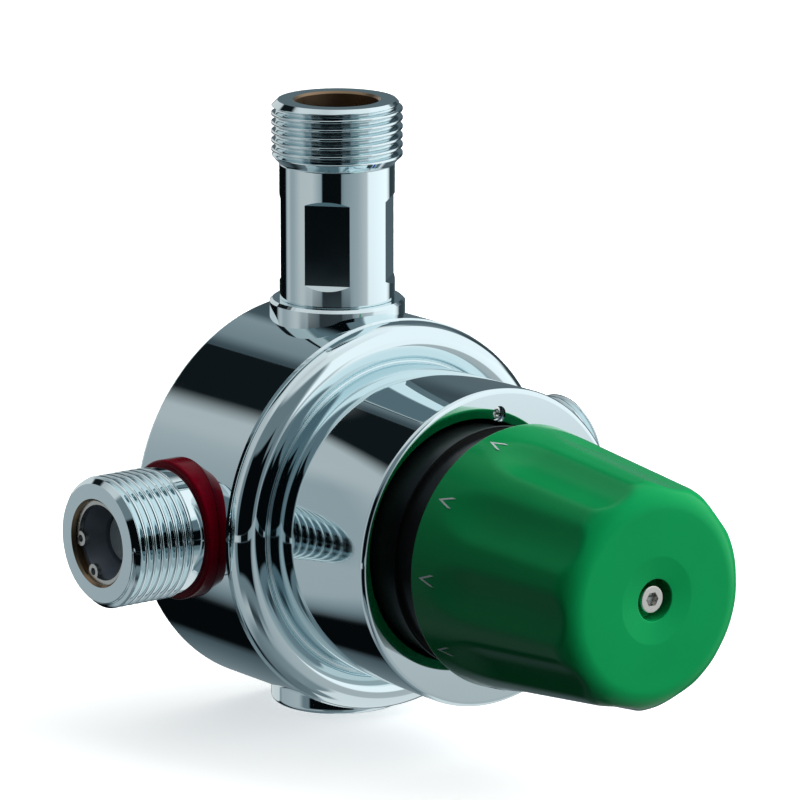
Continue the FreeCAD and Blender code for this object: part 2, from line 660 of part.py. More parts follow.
def inlet(name, sign):
    """One inlet: connector, seal, marker ring, check valve and retaining clip."""

    def out(text):
        return f"{sign}({text})"

    connector = new_body(name + "_connector")
    turn(connector, "X", [
        (out("port_floor + seal_thick"), "inlet_inner_bore"),
        (out("port_floor + seal_thick"), "spigot_radius"),
        (out("inlet_neck_x"), "spigot_radius"),
        (out("inlet_neck_x"), "inlet_neck_radius"),
        (out("inlet_thread_x"), "inlet_neck_radius"),
        (out("inlet_thread_x + thread_radius - inlet_neck_radius"), "thread_radius"),
        (out("inlet_face_x - thread_chamfer"), "thread_radius"),
        (out("inlet_face_x"), "thread_radius - thread_chamfer"),
        (out("inlet_face_x"), "inlet_bore + mouth_chamfer"),
        (out("inlet_face_x - mouth_chamfer"), "inlet_bore"),
        (out("clip_x + clip_thick / 2 + groove_clearance"), "inlet_bore"),
        (out("clip_x + clip_thick / 2 + groove_clearance"), "clip_groove_radius"),
        (out("clip_x - clip_thick / 2 - groove_clearance"), "clip_groove_radius"),
        (out("clip_x - clip_thick / 2 - groove_clearance"), "inlet_bore"),
        (out("inlet_step_x"), "inlet_bore"),
        (out("inlet_step_x"), "inlet_inner_bore"),
    ])

    seal = new_body(name + "_connector_seal")
    turn(seal, "X", block(out("port_floor"), out("port_floor + seal_thick"), "seal_inner", "spigot_radius"))

    # coloured ring: flat in front against the connector, hollowed behind to sit on the drum
    marker = new_body(name + "_marker_ring")
    turn(marker, "X", block(out("inlet_neck_x"), out("drum_radius - 5"), "spigot_radius + cover_clearance",
                            "marker_radius"))
    finish_edges(marker, "Fillet",
                 rims(marker, "X", [(float(sign + "1") * size("inlet_neck_x"), size("marker_radius"))]),
                 "marker_edge")
    saddle = new_sketch(marker, "XZ")
    add_circle(saddle, "0", "0", "drum_radius + groove_clearance / 2")
    prism(marker, "Pocket", saddle, "4 * marker_radius")

    # plastic check valve, held against the connector's step by the clip
    housing = new_body(name + "_check_housing")
    turn(housing, "X", [
        (out("clip_x - clip_thick / 2 - groove_clearance"), "check_mouth_radius"),
        (out("clip_x - clip_thick / 2 - groove_clearance"), "check_radius"),
        (out("check_seal_x + check_seal_width / 2"), "check_radius"),
        (out("check_seal_x + check_seal_width / 2"), "check_seal_floor"),
        (out("check_seal_x - check_seal_width / 2"), "check_seal_floor"),
        (out("check_seal_x - check_seal_width / 2"), "check_radius"),
        (out("inlet_step_x"), "check_radius"),
        (out("inlet_step_x"), "guide_radius"),
        (out("inlet_step_x + check_web"), "guide_radius"),
        (out("inlet_step_x + check_web"), "check_room_radius"),
        (out("check_seat_x"), "check_room_radius"),
        (out("check_seat_x"), "check_throat_radius"),
        (out("check_throat_x"), "check_throat_radius"),
    ])
    way = new_sketch(housing, "YZ")
    add_circle(way, "check_way_centre", "0", "check_ways")
    shift(way, out("inlet_step_x + check_web / 2"))
    repeat(housing, prism(housing, "Pocket", way, "check_web + 1"), "X", 6)

    round_ring(name + "_check_seal", "X", out("check_seal_x"),
               "check_seal_floor + check_seal_cord", "check_seal_cord")

    poppet = new_body(name + "_check_poppet")
    turn(poppet, "X", [
        (out("poppet_nose_x"), "0"),
        (out("poppet_nose_x"), "poppet_nose_radius - 0.5"),
        (out("poppet_nose_x - 0.5"), "poppet_nose_radius"),
        (out("check_seat_x - groove_clearance"), "poppet_nose_radius"),
        (out("check_seat_x - groove_clearance"), "poppet_flange_radius"),
        (out("poppet_rear_x"), "poppet_flange_radius"),
        (out("poppet_rear_x"), "poppet_stem_radius"),
        (out("inlet_step_x - poppet_lead"), "poppet_stem_radius"),
        (out("inlet_step_x - poppet_lead"), "0"),
    ])

    spring = coil_spring(
        name + "_check_spring", "X", out("inlet_step_x + check_web + check_spring_wire + groove_clearance"),
        "poppet_rear_x - inlet_step_x - check_web - 2 * check_spring_wire - 2 * groove_clearance",
        "check_spring_radius", "check_spring_wire", 4)
    spring.Group[-1].Reversed = sign == "-"

    # internal retaining clip: a sprung ring, open between two lugs with tool holes
    clip = new_body(name + "_clip")
    ring = new_sketch(clip, "YZ")
    add_circle(ring, "0", "0", "clip_groove_radius - groove_clearance")
    add_circle(ring, "0", "0", "clip_inner_radius")
    shift(ring, out("clip_x"))
    prism(clip, "Pad", ring, "clip_thick")
    gap = new_sketch(clip, "YZ")
    reach = "(clip_groove_radius + 3)"
    add_outline(gap, [
        ("0", "0"),
        (f"{reach} * cos(clip_turn - clip_gap_angle / 2)", f"{reach} * sin(clip_turn - clip_gap_angle / 2)"),
        (f"{reach} * cos(clip_turn)", f"{reach} * sin(clip_turn)"),
        (f"{reach} * cos(clip_turn + clip_gap_angle / 2)", f"{reach} * sin(clip_turn + clip_gap_angle / 2)"),
    ])
    shift(gap, out("clip_x"))
    prism(clip, "Pocket", gap, "2 * clip_thick")
    for kind, radius in (("Pad", "clip_lug_radius"), ("Pocket", "clip_lug_hole")):
        for side in ("-", "+"):
            lug = new_sketch(clip, "YZ")
            angle = f"(clip_turn {side} clip_lug_angle)"
            add_circle(lug, f"clip_lug_centre * cos{angle}", f"clip_lug_centre * sin{angle}", radius)
            shift(lug, out("clip_x"))
            prism(clip, kind, lug, "clip_thick")


inlet("hot", "-")
inlet("cold", "+")

# Cartridge sleeve: carries the seats, with six windows to each gallery and three ring seals.
cartridge_sleeve = new_body("cartridge_sleeve")
sleeve = [("ledge_y", "sleeve_lip"), ("ledge_y", "cartridge_bore - sleeve_clearance")]
for groove in ("rear_seal_y", "middle_seal_y", "front_seal_y"):
    sleeve += [
        (groove + " + seal_groove_width / 2", "cartridge_bore - sleeve_clearance"),
        (groove + " + seal_groove_width / 2", "seal_groove_floor"),
        (groove + " - seal_groove_width / 2", "seal_groove_floor"),
        (groove + " - seal_groove_width / 2", "cartridge_bore - sleeve_clearance"),
    ]
sleeve += [
    ("land_y", "cartridge_bore - sleeve_clearance"),
    ("land_y", "sleeve_bore"),
    ("cold_seat_y", "sleeve_bore"),
    ("cold_seat_y", "sleeve_lip"),
]
turn(cartridge_sleeve, "Y", sleeve)
for low, high in (("hot_seat_y", "hot_seat_y + window_width"), ("cold_seat_y - window_width", "cold_seat_y")):
    window = new_sketch(cartridge_sleeve, "XY")
    add_outline(window, block("sleeve_bore - 1", "cartridge_bore + 1", low, high))
    repeat(cartridge_sleeve, prism(cartridge_sleeve, "Pocket", window, "window_span"), "Y", 6)
for place in ("rear", "middle", "front"):
    round_ring(f"sleeve_seal_{place}", "Y", f"{place}_seal_y", "seal_groove_floor + seal_cord", "seal_cord")

hot_seat_ring = new_body("hot_seat_ring")
turn(hot_seat_ring, "Y", block("land_y", "hot_seat_y", "hot_seat_inner", "sleeve_bore - sleeve_clearance / 2"))

# Mixing shuttle: slides between the hot seat in front and the cold seat behind.
mixing_shuttle = new_body("mixing_shuttle")
turn(mixing_shuttle, "Y", [
    ("shuttle_front_y", "shuttle_radius - shuttle_wall"),
    ("shuttle_front_y", "shuttle_radius"),
    ("shuttle_seal_y - shuttle_seal_width / 2", "shuttle_radius"),
    ("shuttle_seal_y - shuttle_seal_width / 2", "shuttle_seal_floor"),
    ("shuttle_seal_y + shuttle_seal_width / 2", "shuttle_seal_floor"),
    ("shuttle_seal_y + shuttle_seal_width / 2", "shuttle_radius"),
    ("shuttle_rear_y", "shuttle_radius"),
    ("shuttle_rear_y", "shuttle_radius - shuttle_wall"),
    ("shuttle_web_y + shuttle_web", "shuttle_radius - shuttle_wall"),
    ("shuttle_web_y + shuttle_web", "capsule_radius + groove_clearance"),
    ("shuttle_web_y", "capsule_radius + groove_clearance"),
    ("shuttle_web_y", "shuttle_radius - shuttle_wall"),
])
way = new_sketch(mixing_shuttle, "XZ")
add_circle(way, "shuttle_way_centre", "0", "shuttle_ways")
shift(way, "-(shuttle_web_y + shuttle_web / 2)")
repeat(mixing_shuttle, prism(mixing_shuttle, "Pocket", way, "shuttle_web + 1"), "Y", 6)
round_ring("shuttle_seal", "Y", "shuttle_seal_y", "shuttle_seal_floor + shuttle_seal_cord", "shuttle_seal_cord")

# Wax element: a capsule in the mixed water, whose piston presses on the overload plunger.
wax_element = new_body("wax_element")
turn(wax_element, "Y", [
    ("capsule_rear_y", "0"),
    ("capsule_rear_y", "capsule_radius"),
    ("shuttle_web_y", "capsule_radius"),
    ("shuttle_web_y", "element_flange_radius"),
    ("shuttle_web_y - element_flange", "element_flange_radius"),
    ("shuttle_web_y - element_flange", "element_guide_radius"),
    ("shuttle_web_y - element_flange - element_guide", "element_guide_radius"),
    ("shuttle_web_y - element_flange - element_guide", "piston_radius"),
    ("piston_front_y", "piston_radius"),
    ("piston_front_y", "0"),
])
finish_edges(wax_element, "Fillet", rims(wax_element, "Y", [(size("capsule_rear_y"), size("capsule_radius"))]),
             "capsule_radius / 3")
coil_spring("return_spring", "Y", "shuttle_web_y + shuttle_web + return_spring_wire + groove_clearance",
            "drum_rear_y - rear_wall - shuttle_web_y - shuttle_web - 2 * return_spring_wire"
            " - 2 * groove_clearance", "return_spring_radius", "return_spring_wire", 5)

# Bonnet: clamped between the drum and the cover. It guides the regulating nut between two flats
# and carries the spindle in its neck, whose own flats key the stop ring.
bonnet = new_body("bonnet")
turn(bonnet, "Y", [
    ("land_y", "0"),
    ("land_y", "bonnet_flange_radius"),
    ("drum_front_y", "bonnet_flange_radius"),
    ("drum_front_y", "bonnet_radius"),
    ("bonnet_front_y", "bonnet_radius"),
    ("bonnet_front_y", "bonnet_neck_radius"),
    ("bonnet_neck_y", "bonnet_neck_radius"),
    ("bonnet_neck_y", "0"),
])


def flatted_round(sketch, radius, across):
    """A round outline with two flats, left and right."""
    wide, half = size(radius), size(across) / 2
    angle = math.degrees(math.acos(half / wide))
    upper = add_arc(sketch, 0, 0, wide, angle, 180 - angle)
    lower = add_arc(sketch, 0, 0, wide, 180 + angle, 360 - angle)
    height = wide * math.sin(math.radians(angle))
    left = sketch.addGeometry(Part.LineSegment(
        FreeCAD.Vector(-half, height, 0), FreeCAD.Vector(-half, -height, 0)))
    right = sketch.addGeometry(Part.LineSegment(
        FreeCAD.Vector(half, -height, 0), FreeCAD.Vector(half, height, 0)))
    for first, end, second, start in ((upper, 2, left, 1), (left, 2, lower, 1),
                                      (lower, 2, right, 1), (right, 2, upper, 1)):
        sketch.addConstraint(Sketcher.Constraint("Coincident", first, end, second, start))
    sketch.addConstraint(Sketcher.Constraint("Coincident", upper, 3, lower, 3))
    sketch.addConstraint(Sketcher.Constraint("Coincident", upper, 3, -1, 1))
    sketch.addConstraint(Sketcher.Constraint("Vertical", left))
    sketch.addConstraint(Sketcher.Constraint("Vertical", right))
    sketch.addConstraint(Sketcher.Constraint("Equal", upper, lower))
    return upper, left, right


def add_flatted(sketch, radius, across, grow="0"):
    upper, left, right = flatted_round(sketch, radius, across)
    drive(sketch, "Radius", upper, text=f"{radius} + {grow}")
    drive(sketch, "DistanceX", left, 1, text=f"-({across} / 2 + {grow})")
    drive(sketch, "DistanceX", right, 1, text=f"{across} / 2 + {grow}")


def add_stretch(body, kind, sketch, low, high):
    """A pad or pocket between two places along Y, from a sketch in the XZ plane."""
    shift(sketch, f"-(({low}) + ({high})) / 2")
    return prism(body, kind, sketch, f"({high}) - ({low})")


room = new_sketch(bonnet, "XZ")
add_flatted(room, "nut_radius", "nut_across", "nut_key_clearance")
add_stretch(bonnet, "Pocket", room, "bonnet_front_y + bonnet_wall", "land_y + 0.001")
bore(bonnet, "Y", [
    ("bonnet_front_y + bonnet_wall + 0.5", "0"),
    ("bonnet_front_y + bonnet_wall + 0.5", "spindle_radius + spindle_running"),
    ("spindle_seal_y + spindle_seal_width / 2", "spindle_radius + spindle_running"),
    ("spindle_seal_y + spindle_seal_width / 2", "spindle_seal_floor"),
    ("spindle_seal_y - spindle_seal_width / 2", "spindle_seal_floor"),
    ("spindle_seal_y - spindle_seal_width / 2", "spindle_radius + spindle_running"),
    ("bonnet_neck_y - 1", "spindle_radius + spindle_running"),
    ("bonnet_neck_y - 1", "0"),
])
for side in ("-", "+"):
    key = new_sketch(bonnet, "XZ")
    add_outline(key, block(f"{side}bonnet_key_across / 2", f"{side}(bonnet_neck_radius + 1)",
                           "-bonnet_neck_radius - 1", "bonnet_neck_radius + 1"))
    add_stretch(bonnet, "Pocket", key, "bonnet_neck_y - 1", "bonnet_neck_y + bonnet_key")
round_ring("spindle_seal", "Y", "spindle_seal_y", "spindle_seal_floor - spindle_seal_cord", "spindle_seal_cord")

# Regulating nut: slides in the bonnet's flats as the spindle turns, and holds the overload spring.
regulating_nut = new_body("regulating_nut")
section = new_sketch(regulating_nut, "XZ")
add_flatted(section, "nut_radius", "nut_across")
add_stretch(regulating_nut, "Pad", section, "nut_front_y", "nut_rear_y")
bore(regulating_nut, "Y", [
    ("nut_front_y - 1", "0"),
    ("nut_front_y - 1", "spindle_thread_radius + groove_clearance"),
    ("nut_room_y", "spindle_thread_radius + groove_clearance"),
    ("nut_room_y", "nut_room_radius"),
    ("nut_clip_y - nut_clip_thick / 2 - groove_clearance", "nut_room_radius"),
    ("nut_clip_y - nut_clip_thick / 2 - groove_clearance", "nut_clip_groove"),
    ("nut_clip_y + nut_clip_thick / 2 + groove_clearance", "nut_clip_groove"),
    ("nut_clip_y + nut_clip_thick / 2 + groove_clearance", "nut_room_radius"),
    ("nut_rear_y + 1", "nut_room_radius"),
    ("nut_rear_y + 1", "0"),
])

nut_clip = new_body("nut_clip")
turn(nut_clip, "Y", block("nut_clip_y - nut_clip_thick / 2", "nut_clip_y + nut_clip_thick / 2",
                          "nut_clip_inner", "nut_clip_groove - groove_clearance"))
gap = new_sketch(nut_clip, "XZ")
add_outline(gap, block("0", "nut_clip_groove + 1", "-1.5", "1.5"))
shift(gap, "-nut_clip_y")
prism(nut_clip, "Pocket", gap, "2 * nut_clip_thick")

# Overload plunger: takes up the element's stroke when the water is hotter than the setting.
overload_plunger = new_body("overload_plunger")
turn(overload_plunger, "Y", [
    ("plunger_rear_y - plunger_socket", "0"),
    ("plunger_rear_y - plunger_socket", "piston_radius + groove_clearance"),
    ("plunger_rear_y", "piston_radius + groove_clearance"),
    ("plunger_rear_y", "plunger_radius"),
    ("plunger_rear_y - plunger_flange", "plunger_radius"),
    ("plunger_rear_y - plunger_flange", "plunger_stem_radius"),
    ("plunger_rear_y - plunger_flange - plunger_stem", "plunger_stem_radius"),
    ("plunger_rear_y - plunger_flange - plunger_stem", "0"),
])
coil_spring("overload_spring", "Y", "nut_room_y + overload_spring_wire + groove_clearance",
            "plunger_rear_y - plunger_flange - nut_room_y - 2 * overload_spring_wire"
            " - 2 * groove_clearance", "overload_spring_radius", "overload_spring_wire", 3)

# Spindle: turned brass, threaded inside, with two drive flats and a tapped hole for the knob.
spindle_front = "screw_seat_y + hub_seat + drive_clearance"
spindle = new_body("spindle")
turn(spindle, "Y", [
    (spindle_front, "0"),
    (spindle_front, "spindle_drive_radius"),
    ("spindle_shoulder_y", "spindle_drive_radius"),
    ("spindle_shoulder_y", "spindle_radius"),
    ("spindle_clip_y - spindle_clip_thick / 2 - groove_clearance", "spindle_radius"),
    ("spindle_clip_y - spindle_clip_thick / 2 - groove_clearance", "spindle_clip_floor"),
    ("spindle_clip_y + spindle_clip_thick / 2 + groove_clearance", "spindle_clip_floor"),
    ("spindle_clip_y + spindle_clip_thick / 2 + groove_clearance", "spindle_radius"),
    ("bonnet_front_y + bonnet_wall + drive_clearance", "spindle_radius"),
    ("bonnet_front_y + bonnet_wall + drive_clearance", "spindle_flange_radius"),
    ("bonnet_front_y + bonnet_wall + drive_clearance + spindle_flange", "spindle_flange_radius"),
    ("bonnet_front_y + bonnet_wall + drive_clearance + spindle_flange", "spindle_thread_radius"),
    ("spindle_inner_y", "spindle_thread_radius"),
    ("spindle_inner_y", "0"),
])
for side in ("-", "+"):
    drive_flat = new_sketch(spindle, "XZ")
    add_outline(drive_flat, block(f"{side}spindle_drive_across / 2", f"{side}(spindle_drive_radius + 1)",
                                  "-spindle_drive_radius - 1", "spindle_drive_radius + 1"))
    add_stretch(spindle, "Pocket", drive_flat, "knob_front_y", "spindle_shoulder_y")
bore(spindle, "Y", block("knob_front_y", "screw_seat_y + screw_length + 1",
                         "0", "screw_radius + screw_clearance"))

spindle_clip = new_body("spindle_clip")
turn(spindle_clip, "Y", block("spindle_clip_y - spindle_clip_thick / 2",
                              "spindle_clip_y + spindle_clip_thick / 2",
                              "spindle_clip_floor + groove_clearance / 2", "spindle_clip_radius"))
gap = new_sketch(spindle_clip, "XZ")
add_outline(gap, block("-spindle_clip_gap / 2", "spindle_clip_gap / 2", "0", "-spindle_clip_radius - 1"))
shift(gap, "-spindle_clip_y")
prism(spindle_clip, "Pocket", gap, "2 * spindle_clip_thick")

# Stop ring: black plastic behind the knob, keyed on the bonnet. Its lug limits the knob's turn.
stop_ring = new_body("stop_ring")
turn(stop_ring, "Y", [
    ("stop_disc_y + stop_disc", "bonnet_key_across / 4"),
    ("stop_disc_y + stop_disc", "stop_disc_radius"),
    ("stop_disc_y", "stop_disc_radius"),
    ("stop_disc_y", "stop_sleeve_radius"),
    ("stop_sleeve_y", "stop_sleeve_radius"),
    ("stop_sleeve_y", "stop_sleeve_radius - stop_sleeve_wall"),
    ("stop_disc_y", "stop_sleeve_radius - stop_sleeve_wall"),
    ("stop_disc_y", "bonnet_key_across / 4"),
])
key = new_sketch(stop_ring, "XZ")
add_flatted(key, "bonnet_neck_radius", "bonnet_key_across", "cover_clearance")
add_stretch(stop_ring, "Pocket", key, "stop_disc_y - 1", "stop_disc_y + stop_disc + 1")


def add_sector(sketch, inner, outer, centre_angle, spread):
    """A piece of a ring about the Y axis. Angles are from +Z towards +X, in degrees."""
    middle, half = 90 - size(centre_angle), size(spread) / 2
    arcs = [add_arc(sketch, 0, 0, size(radius), middle - half, middle + half) for radius in (inner, outer)]
    ends = []
    for angle in (middle - half, middle + half):
        along = FreeCAD.Vector(math.cos(math.radians(angle)), math.sin(math.radians(angle)), 0)
        ends.append(sketch.addGeometry(Part.LineSegment(along * size(inner), along * size(outer))))
    for number, radius in zip(arcs, (inner, outer)):
        sketch.addConstraint(Sketcher.Constraint("Coincident", number, 3, -1, 1))
        drive(sketch, "Radius", number, text=radius)
    for point, line in ((1, ends[0]), (2, ends[1])):
        sketch.addConstraint(Sketcher.Constraint("Coincident", arcs[0], point, line, 1))
        sketch.addConstraint(Sketcher.Constraint("Coincident", arcs[1], point, line, 2))
    for line, side in zip(ends, ("+", "-")):
        angle = f"({centre_angle} {side} ({spread}) / 2)"
        drive(sketch, "DistanceX", line, 1, text=f"{inner} * sin{angle}")
        drive(sketch, "DistanceX", line, 2, text=f"{outer} * sin{angle}")


lug = new_sketch(stop_ring, "XZ")
add_sector(lug, "stop_lug_inner", "stop_lug_outer", "stop_lug_centre", "stop_lug_angle")
add_stretch(stop_ring, "Pad", lug, "stop_disc_y - stop_lug_height", "stop_disc_y")

# Knob: one moulding, a tapered skirt with shallow flutes that deepen to a rounded front corner,
# and inside it a hub with two drive flats and a lug that meets the stop ring's lug.
knob = new_body("knob")
turn(knob, "Y", [
    ("knob_rear_y", "0"),
    ("knob_rear_y", "knob_rear_radius"),
    ("knob_front_y", "knob_front_radius"),
    ("knob_front_y", "0"),
])
finish_edges(knob, "Fillet", rims(knob, "Y", [(size("knob_front_y"), size("knob_front_radius"))]), "knob_corner")
finish_edges(knob, "Fillet", rims(knob, "Y", [(size("knob_rear_y"), size("knob_rear_radius"))]),
             "knob_rear_edge")
# the flute's floor runs parallel to the skirt and leaves it at the rear along an arc
floor_front = "(knob_front_y - 2)"
floor_rear = "(flute_start_y - sqrt(2 * flute_run_radius * flute_depth))"


def flute_floor(along):
    """Radius of a flute's floor at a place along the knob."""
    return f"(knob_rear_radius - flute_depth - (knob_rear_y - {along}) * knob_taper)"


section = new_sketch(knob, "XZ")
section.AttachmentOffset = FreeCAD.Placement(
    FreeCAD.Vector(), FreeCAD.Rotation(FreeCAD.Vector(0, 0, 1), -size("flute_turn")))
section.setExpression("AttachmentOffset.Rotation.Angle", bound("flute_turn"))
shift(section, f"-{floor_front}")
reach = math.degrees(math.asin(size("flute_half_width") / size("flute_radius")))
arc = add_arc(section, 0, size(f"{flute_floor(floor_front)} + flute_radius"), size("flute_radius"),
              270 - reach, 270 + reach)
chord = section.addGeometry(Part.LineSegment(section.Geometry[arc].StartPoint, section.Geometry[arc].EndPoint))
section.addConstraint(Sketcher.Constraint("Coincident", arc, 1, chord, 1))
section.addConstraint(Sketcher.Constraint("Coincident", arc, 2, chord, 2))
section.addConstraint(Sketcher.Constraint("Horizontal", chord))
section.addConstraint(Sketcher.Constraint("PointOnObject", arc, 3, -2))
drive(section, "DistanceY", arc, 3, text=f"{flute_floor(floor_front)} + flute_radius")
drive(section, "Radius", arc, text="flute_radius")
drive(section, "DistanceX", chord, 2, text="flute_half_width")
route = new_sketch(knob, "YZ")
route.AttachmentOffset = FreeCAD.Placement(
    FreeCAD.Vector(), FreeCAD.Rotation(FreeCAD.Vector(1, 0, 0), -size("flute_turn")))
route.setExpression("AttachmentOffset.Rotation.Angle", bound("flute_turn"))
ends = [FreeCAD.Vector(size(along), size(flute_floor(along)), 0) for along in (floor_front, floor_rear)]
straight = route.addGeometry(Part.LineSegment(*ends))
lean = math.degrees(math.atan2(ends[1].y - ends[0].y, ends[1].x - ends[0].x))
run_out = add_arc(route, ends[1].x - size("flute_run_radius") * math.sin(math.radians(lean)),
                  ends[1].y + size("flute_run_radius") * math.cos(math.radians(lean)),
                  size("flute_run_radius"), 270 + lean, 305 + lean)
route.addConstraint(Sketcher.Constraint("Tangent", straight, 2, run_out, 1))
for end, along in ((1, floor_front), (2, floor_rear)):
    drive(route, "DistanceX", straight, end, text=along)
    drive(route, "DistanceY", straight, end, text=flute_floor(along))
drive(route, "Radius", run_out, text="flute_run_radius")
drive(route, "DistanceY", run_out, 2, text=f"{flute_floor(floor_rear)} + flute_run_rise")
doc.recompute()
before = knob.Shape.Volume
flute = feature(knob, "SubtractivePipe", section, Spine=(route, ["Edge1", "Edge2"]))
doc.recompute()
assert knob.Shape.Volume < before, "the flute took nothing away"
repeat(knob, flute, "Y", size("flute_count"))
bore(knob, "Y", [
    ("knob_rear_y + 1", "hub_radius"),
    ("knob_rear_y + 1", "knob_rear_radius - knob_wall + knob_taper"),
    ("knob_front_y + knob_top",
     "knob_rear_radius - knob_wall - (knob_rear_y - knob_front_y - knob_top) * knob_taper"),
    ("knob_front_y + knob_top", "hub_radius"),
])
bore(knob, "Y", block("hub_rear_y", "knob_rear_y + 1", "0", "hub_radius + 1"))
bore(knob, "Y", [
    ("knob_front_y - 1", "0"),
    ("knob_front_y - 1", "knob_dish_radius"),
    ("knob_front_y", "knob_dish_radius"),
    ("knob_front_y + knob_dish", "knob_recess_radius"),
    ("screw_seat_y", "knob_recess_radius"),
    ("screw_seat_y", "screw_radius + 2 * screw_clearance"),
    ("screw_seat_y + hub_seat + 1", "screw_radius + 2 * screw_clearance"),
    ("screw_seat_y + hub_seat + 1", "0"),
])
drive_hole = new_sketch(knob, "XZ")
add_flatted(drive_hole, "spindle_drive_radius", "spindle_drive_across", "drive_clearance")
add_stretch(knob, "Pocket", drive_hole, "screw_seat_y + hub_seat", "hub_rear_y + 1")
disc = new_sketch(knob, "XZ")
add_circle(disc, "0", "0", "lug_disc_radius")
add_circle(disc, "0", "0", "hub_radius - 1")
add_stretch(knob, "Pad", disc, "lug_disc_y - lug_disc", "lug_disc_y")
lug = new_sketch(knob, "XZ")
add_sector(lug, "lug_inner", "lug_disc_radius",
           "stop_lug_centre + (stop_lug_angle + lug_angle) / 2 + lug_gap", "lug_angle")
add_stretch(knob, "Pad", lug, "lug_disc_y - 1", "lug_tip_y")

# Knob screw: a socket head cap screw that holds the knob on the spindle.
knob_screw = new_body("knob_screw")
turn(knob_screw, "Y", [
    ("screw_seat_y - screw_head", "0"),
    ("screw_seat_y - screw_head", "screw_head_radius"),
    ("screw_seat_y", "screw_head_radius"),
    ("screw_seat_y", "screw_radius"),
    ("screw_seat_y + screw_length", "screw_radius"),
    ("screw_seat_y + screw_length", "0"),
])
finish_edges(knob_screw, "Fillet", rims(knob_screw, "Y", [
    (size("screw_seat_y - screw_head"), size("screw_head_radius"))]), "screw_head / 10")


def add_hexagon(sketch, across, up, flats):
    """A hexagon by its centre and its size across flats."""
    corner = f"{flats} / 2 / cos(30)"
    add_outline(sketch, [(f"{across} + {corner} * sin({60 * k})", f"{up} + {corner} * cos({60 * k})")
                         for k in range(6)])


socket = new_sketch(knob_screw, "XZ")
add_hexagon(socket, "0", "0", "screw_hex")
shift(socket, "-(screw_seat_y - screw_head)")
prism(knob_screw, "Pocket", socket, "2 * screw_hex_depth")
socket = new_sketch(index_screw, "XZ")
add_hexagon(socket, "index_across", "index_up", "index_hex")
shift(socket, "-(collar_front_y + index_recess)")
prism(index_screw, "Pocket", socket, "2 * index_hex")

doc.recompute()
for item in doc.Objects:
    bad = [word for word in item.State if word in ("Invalid", "Error")]
    assert not bad, f"{item.Name} failed: {item.State}"
bodies = [item for item in doc.Objects if item.TypeId == "PartDesign::Body"]
for body in bodies:
    assert not body.Shape.isNull() and body.Shape.isValid(), body.Label + " has no valid shape"
    assert len(body.Shape.Solids) == 1, body.Label + " is not one solid"

os.makedirs("parts", exist_ok=True)
for body in bodies:
    body.Shape.exportStep(f"parts/{body.Label}.step")
    print(f"{body.Label:24s} {body.Shape.Volume:10.1f} mm3")
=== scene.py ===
import math
import bmesh
import bpy
from mathutils import Matrix, Vector


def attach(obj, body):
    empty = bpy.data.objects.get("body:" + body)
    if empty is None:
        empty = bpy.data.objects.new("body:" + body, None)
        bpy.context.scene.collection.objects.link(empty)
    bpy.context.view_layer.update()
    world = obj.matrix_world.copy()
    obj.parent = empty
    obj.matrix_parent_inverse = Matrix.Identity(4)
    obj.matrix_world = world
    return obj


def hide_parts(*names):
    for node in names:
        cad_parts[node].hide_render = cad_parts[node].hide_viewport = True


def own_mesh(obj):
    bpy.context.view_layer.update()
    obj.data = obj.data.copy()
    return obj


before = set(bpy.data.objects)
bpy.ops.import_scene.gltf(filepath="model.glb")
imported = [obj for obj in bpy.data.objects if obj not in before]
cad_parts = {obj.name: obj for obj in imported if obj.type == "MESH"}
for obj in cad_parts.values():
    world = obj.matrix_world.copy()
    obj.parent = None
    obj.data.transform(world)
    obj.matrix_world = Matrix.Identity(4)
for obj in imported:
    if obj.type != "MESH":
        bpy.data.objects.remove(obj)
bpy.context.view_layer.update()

# Valve body: a brass casting, turned outside and bored inside, then polished and chromed.
# The outside is a mirror with a very slight ripple, the bores are cut brass, and the rear face shows
# its lathe marks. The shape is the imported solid's own, shaded with the true slope of its turned faces.
PLATE_COLOUR = (0.69, 0.80, 0.83, 1.0)
BRASS_COLOUR = (0.26, 0.18, 0.11, 1.0)


def feed(tree, value, socket):
    """Gives a socket its value, which is a number, a colour or another node's socket."""
    if isinstance(value, bpy.types.NodeSocket):
        tree.links.new(value, socket)
    else:
        socket.default_value = value


def maths(tree, operation, *values):
    """One Math node. Each value is a number or a socket."""
    node = tree.nodes.new("ShaderNodeMath")
    node.operation = operation
    for socket, value in zip(node.inputs, values):
        feed(tree, value, socket)
    return node.outputs[0]


def finish_group(name, inputs, outputs):
    """An empty shader group with named number inputs and outputs, and its two end nodes."""
    group = bpy.data.node_groups.new(name, "ShaderNodeTree")
    for label, value in inputs.items():
        socket = group.interface.new_socket(label, in_out="INPUT", socket_type="NodeSocketFloat")
        socket.default_value = value
    for label, kind in outputs.items():
        group.interface.new_socket(label, in_out="OUTPUT", socket_type="NodeSocket" + kind)
    return group, group.nodes.new("NodeGroupInput"), group.nodes.new("NodeGroupOutput")


def grain(group, scale, detail=2.0):
    """Noise on the piece's own coordinates. The scale is a socket or a number, in 1/m."""
    place = group.nodes.new("ShaderNodeTexCoord")
    noise = group.nodes.new("ShaderNodeTexNoise")
    noise.inputs["Detail"].default_value = detail
    group.links.new(place.outputs["Object"], noise.inputs["Vector"])
    feed(group, scale, noise.inputs["Scale"])
    return noise.outputs["Fac"]


def spread(tree, value, low=0.0, high=1.0, floor=0.3, top=0.7, curve="LINEAR"):
    """Carries a value over from the range floor to top into the range low to high."""
    node = tree.nodes.new("ShaderNodeMapRange")
    node.interpolation_type = curve
    feed(tree, value, node.inputs["Value"])
    for label, limit in (("From Min", floor), ("From Max", top), ("To Min", low), ("To Max", high)):
        feed(tree, limit, node.inputs[label])
    return node.outputs["Result"]


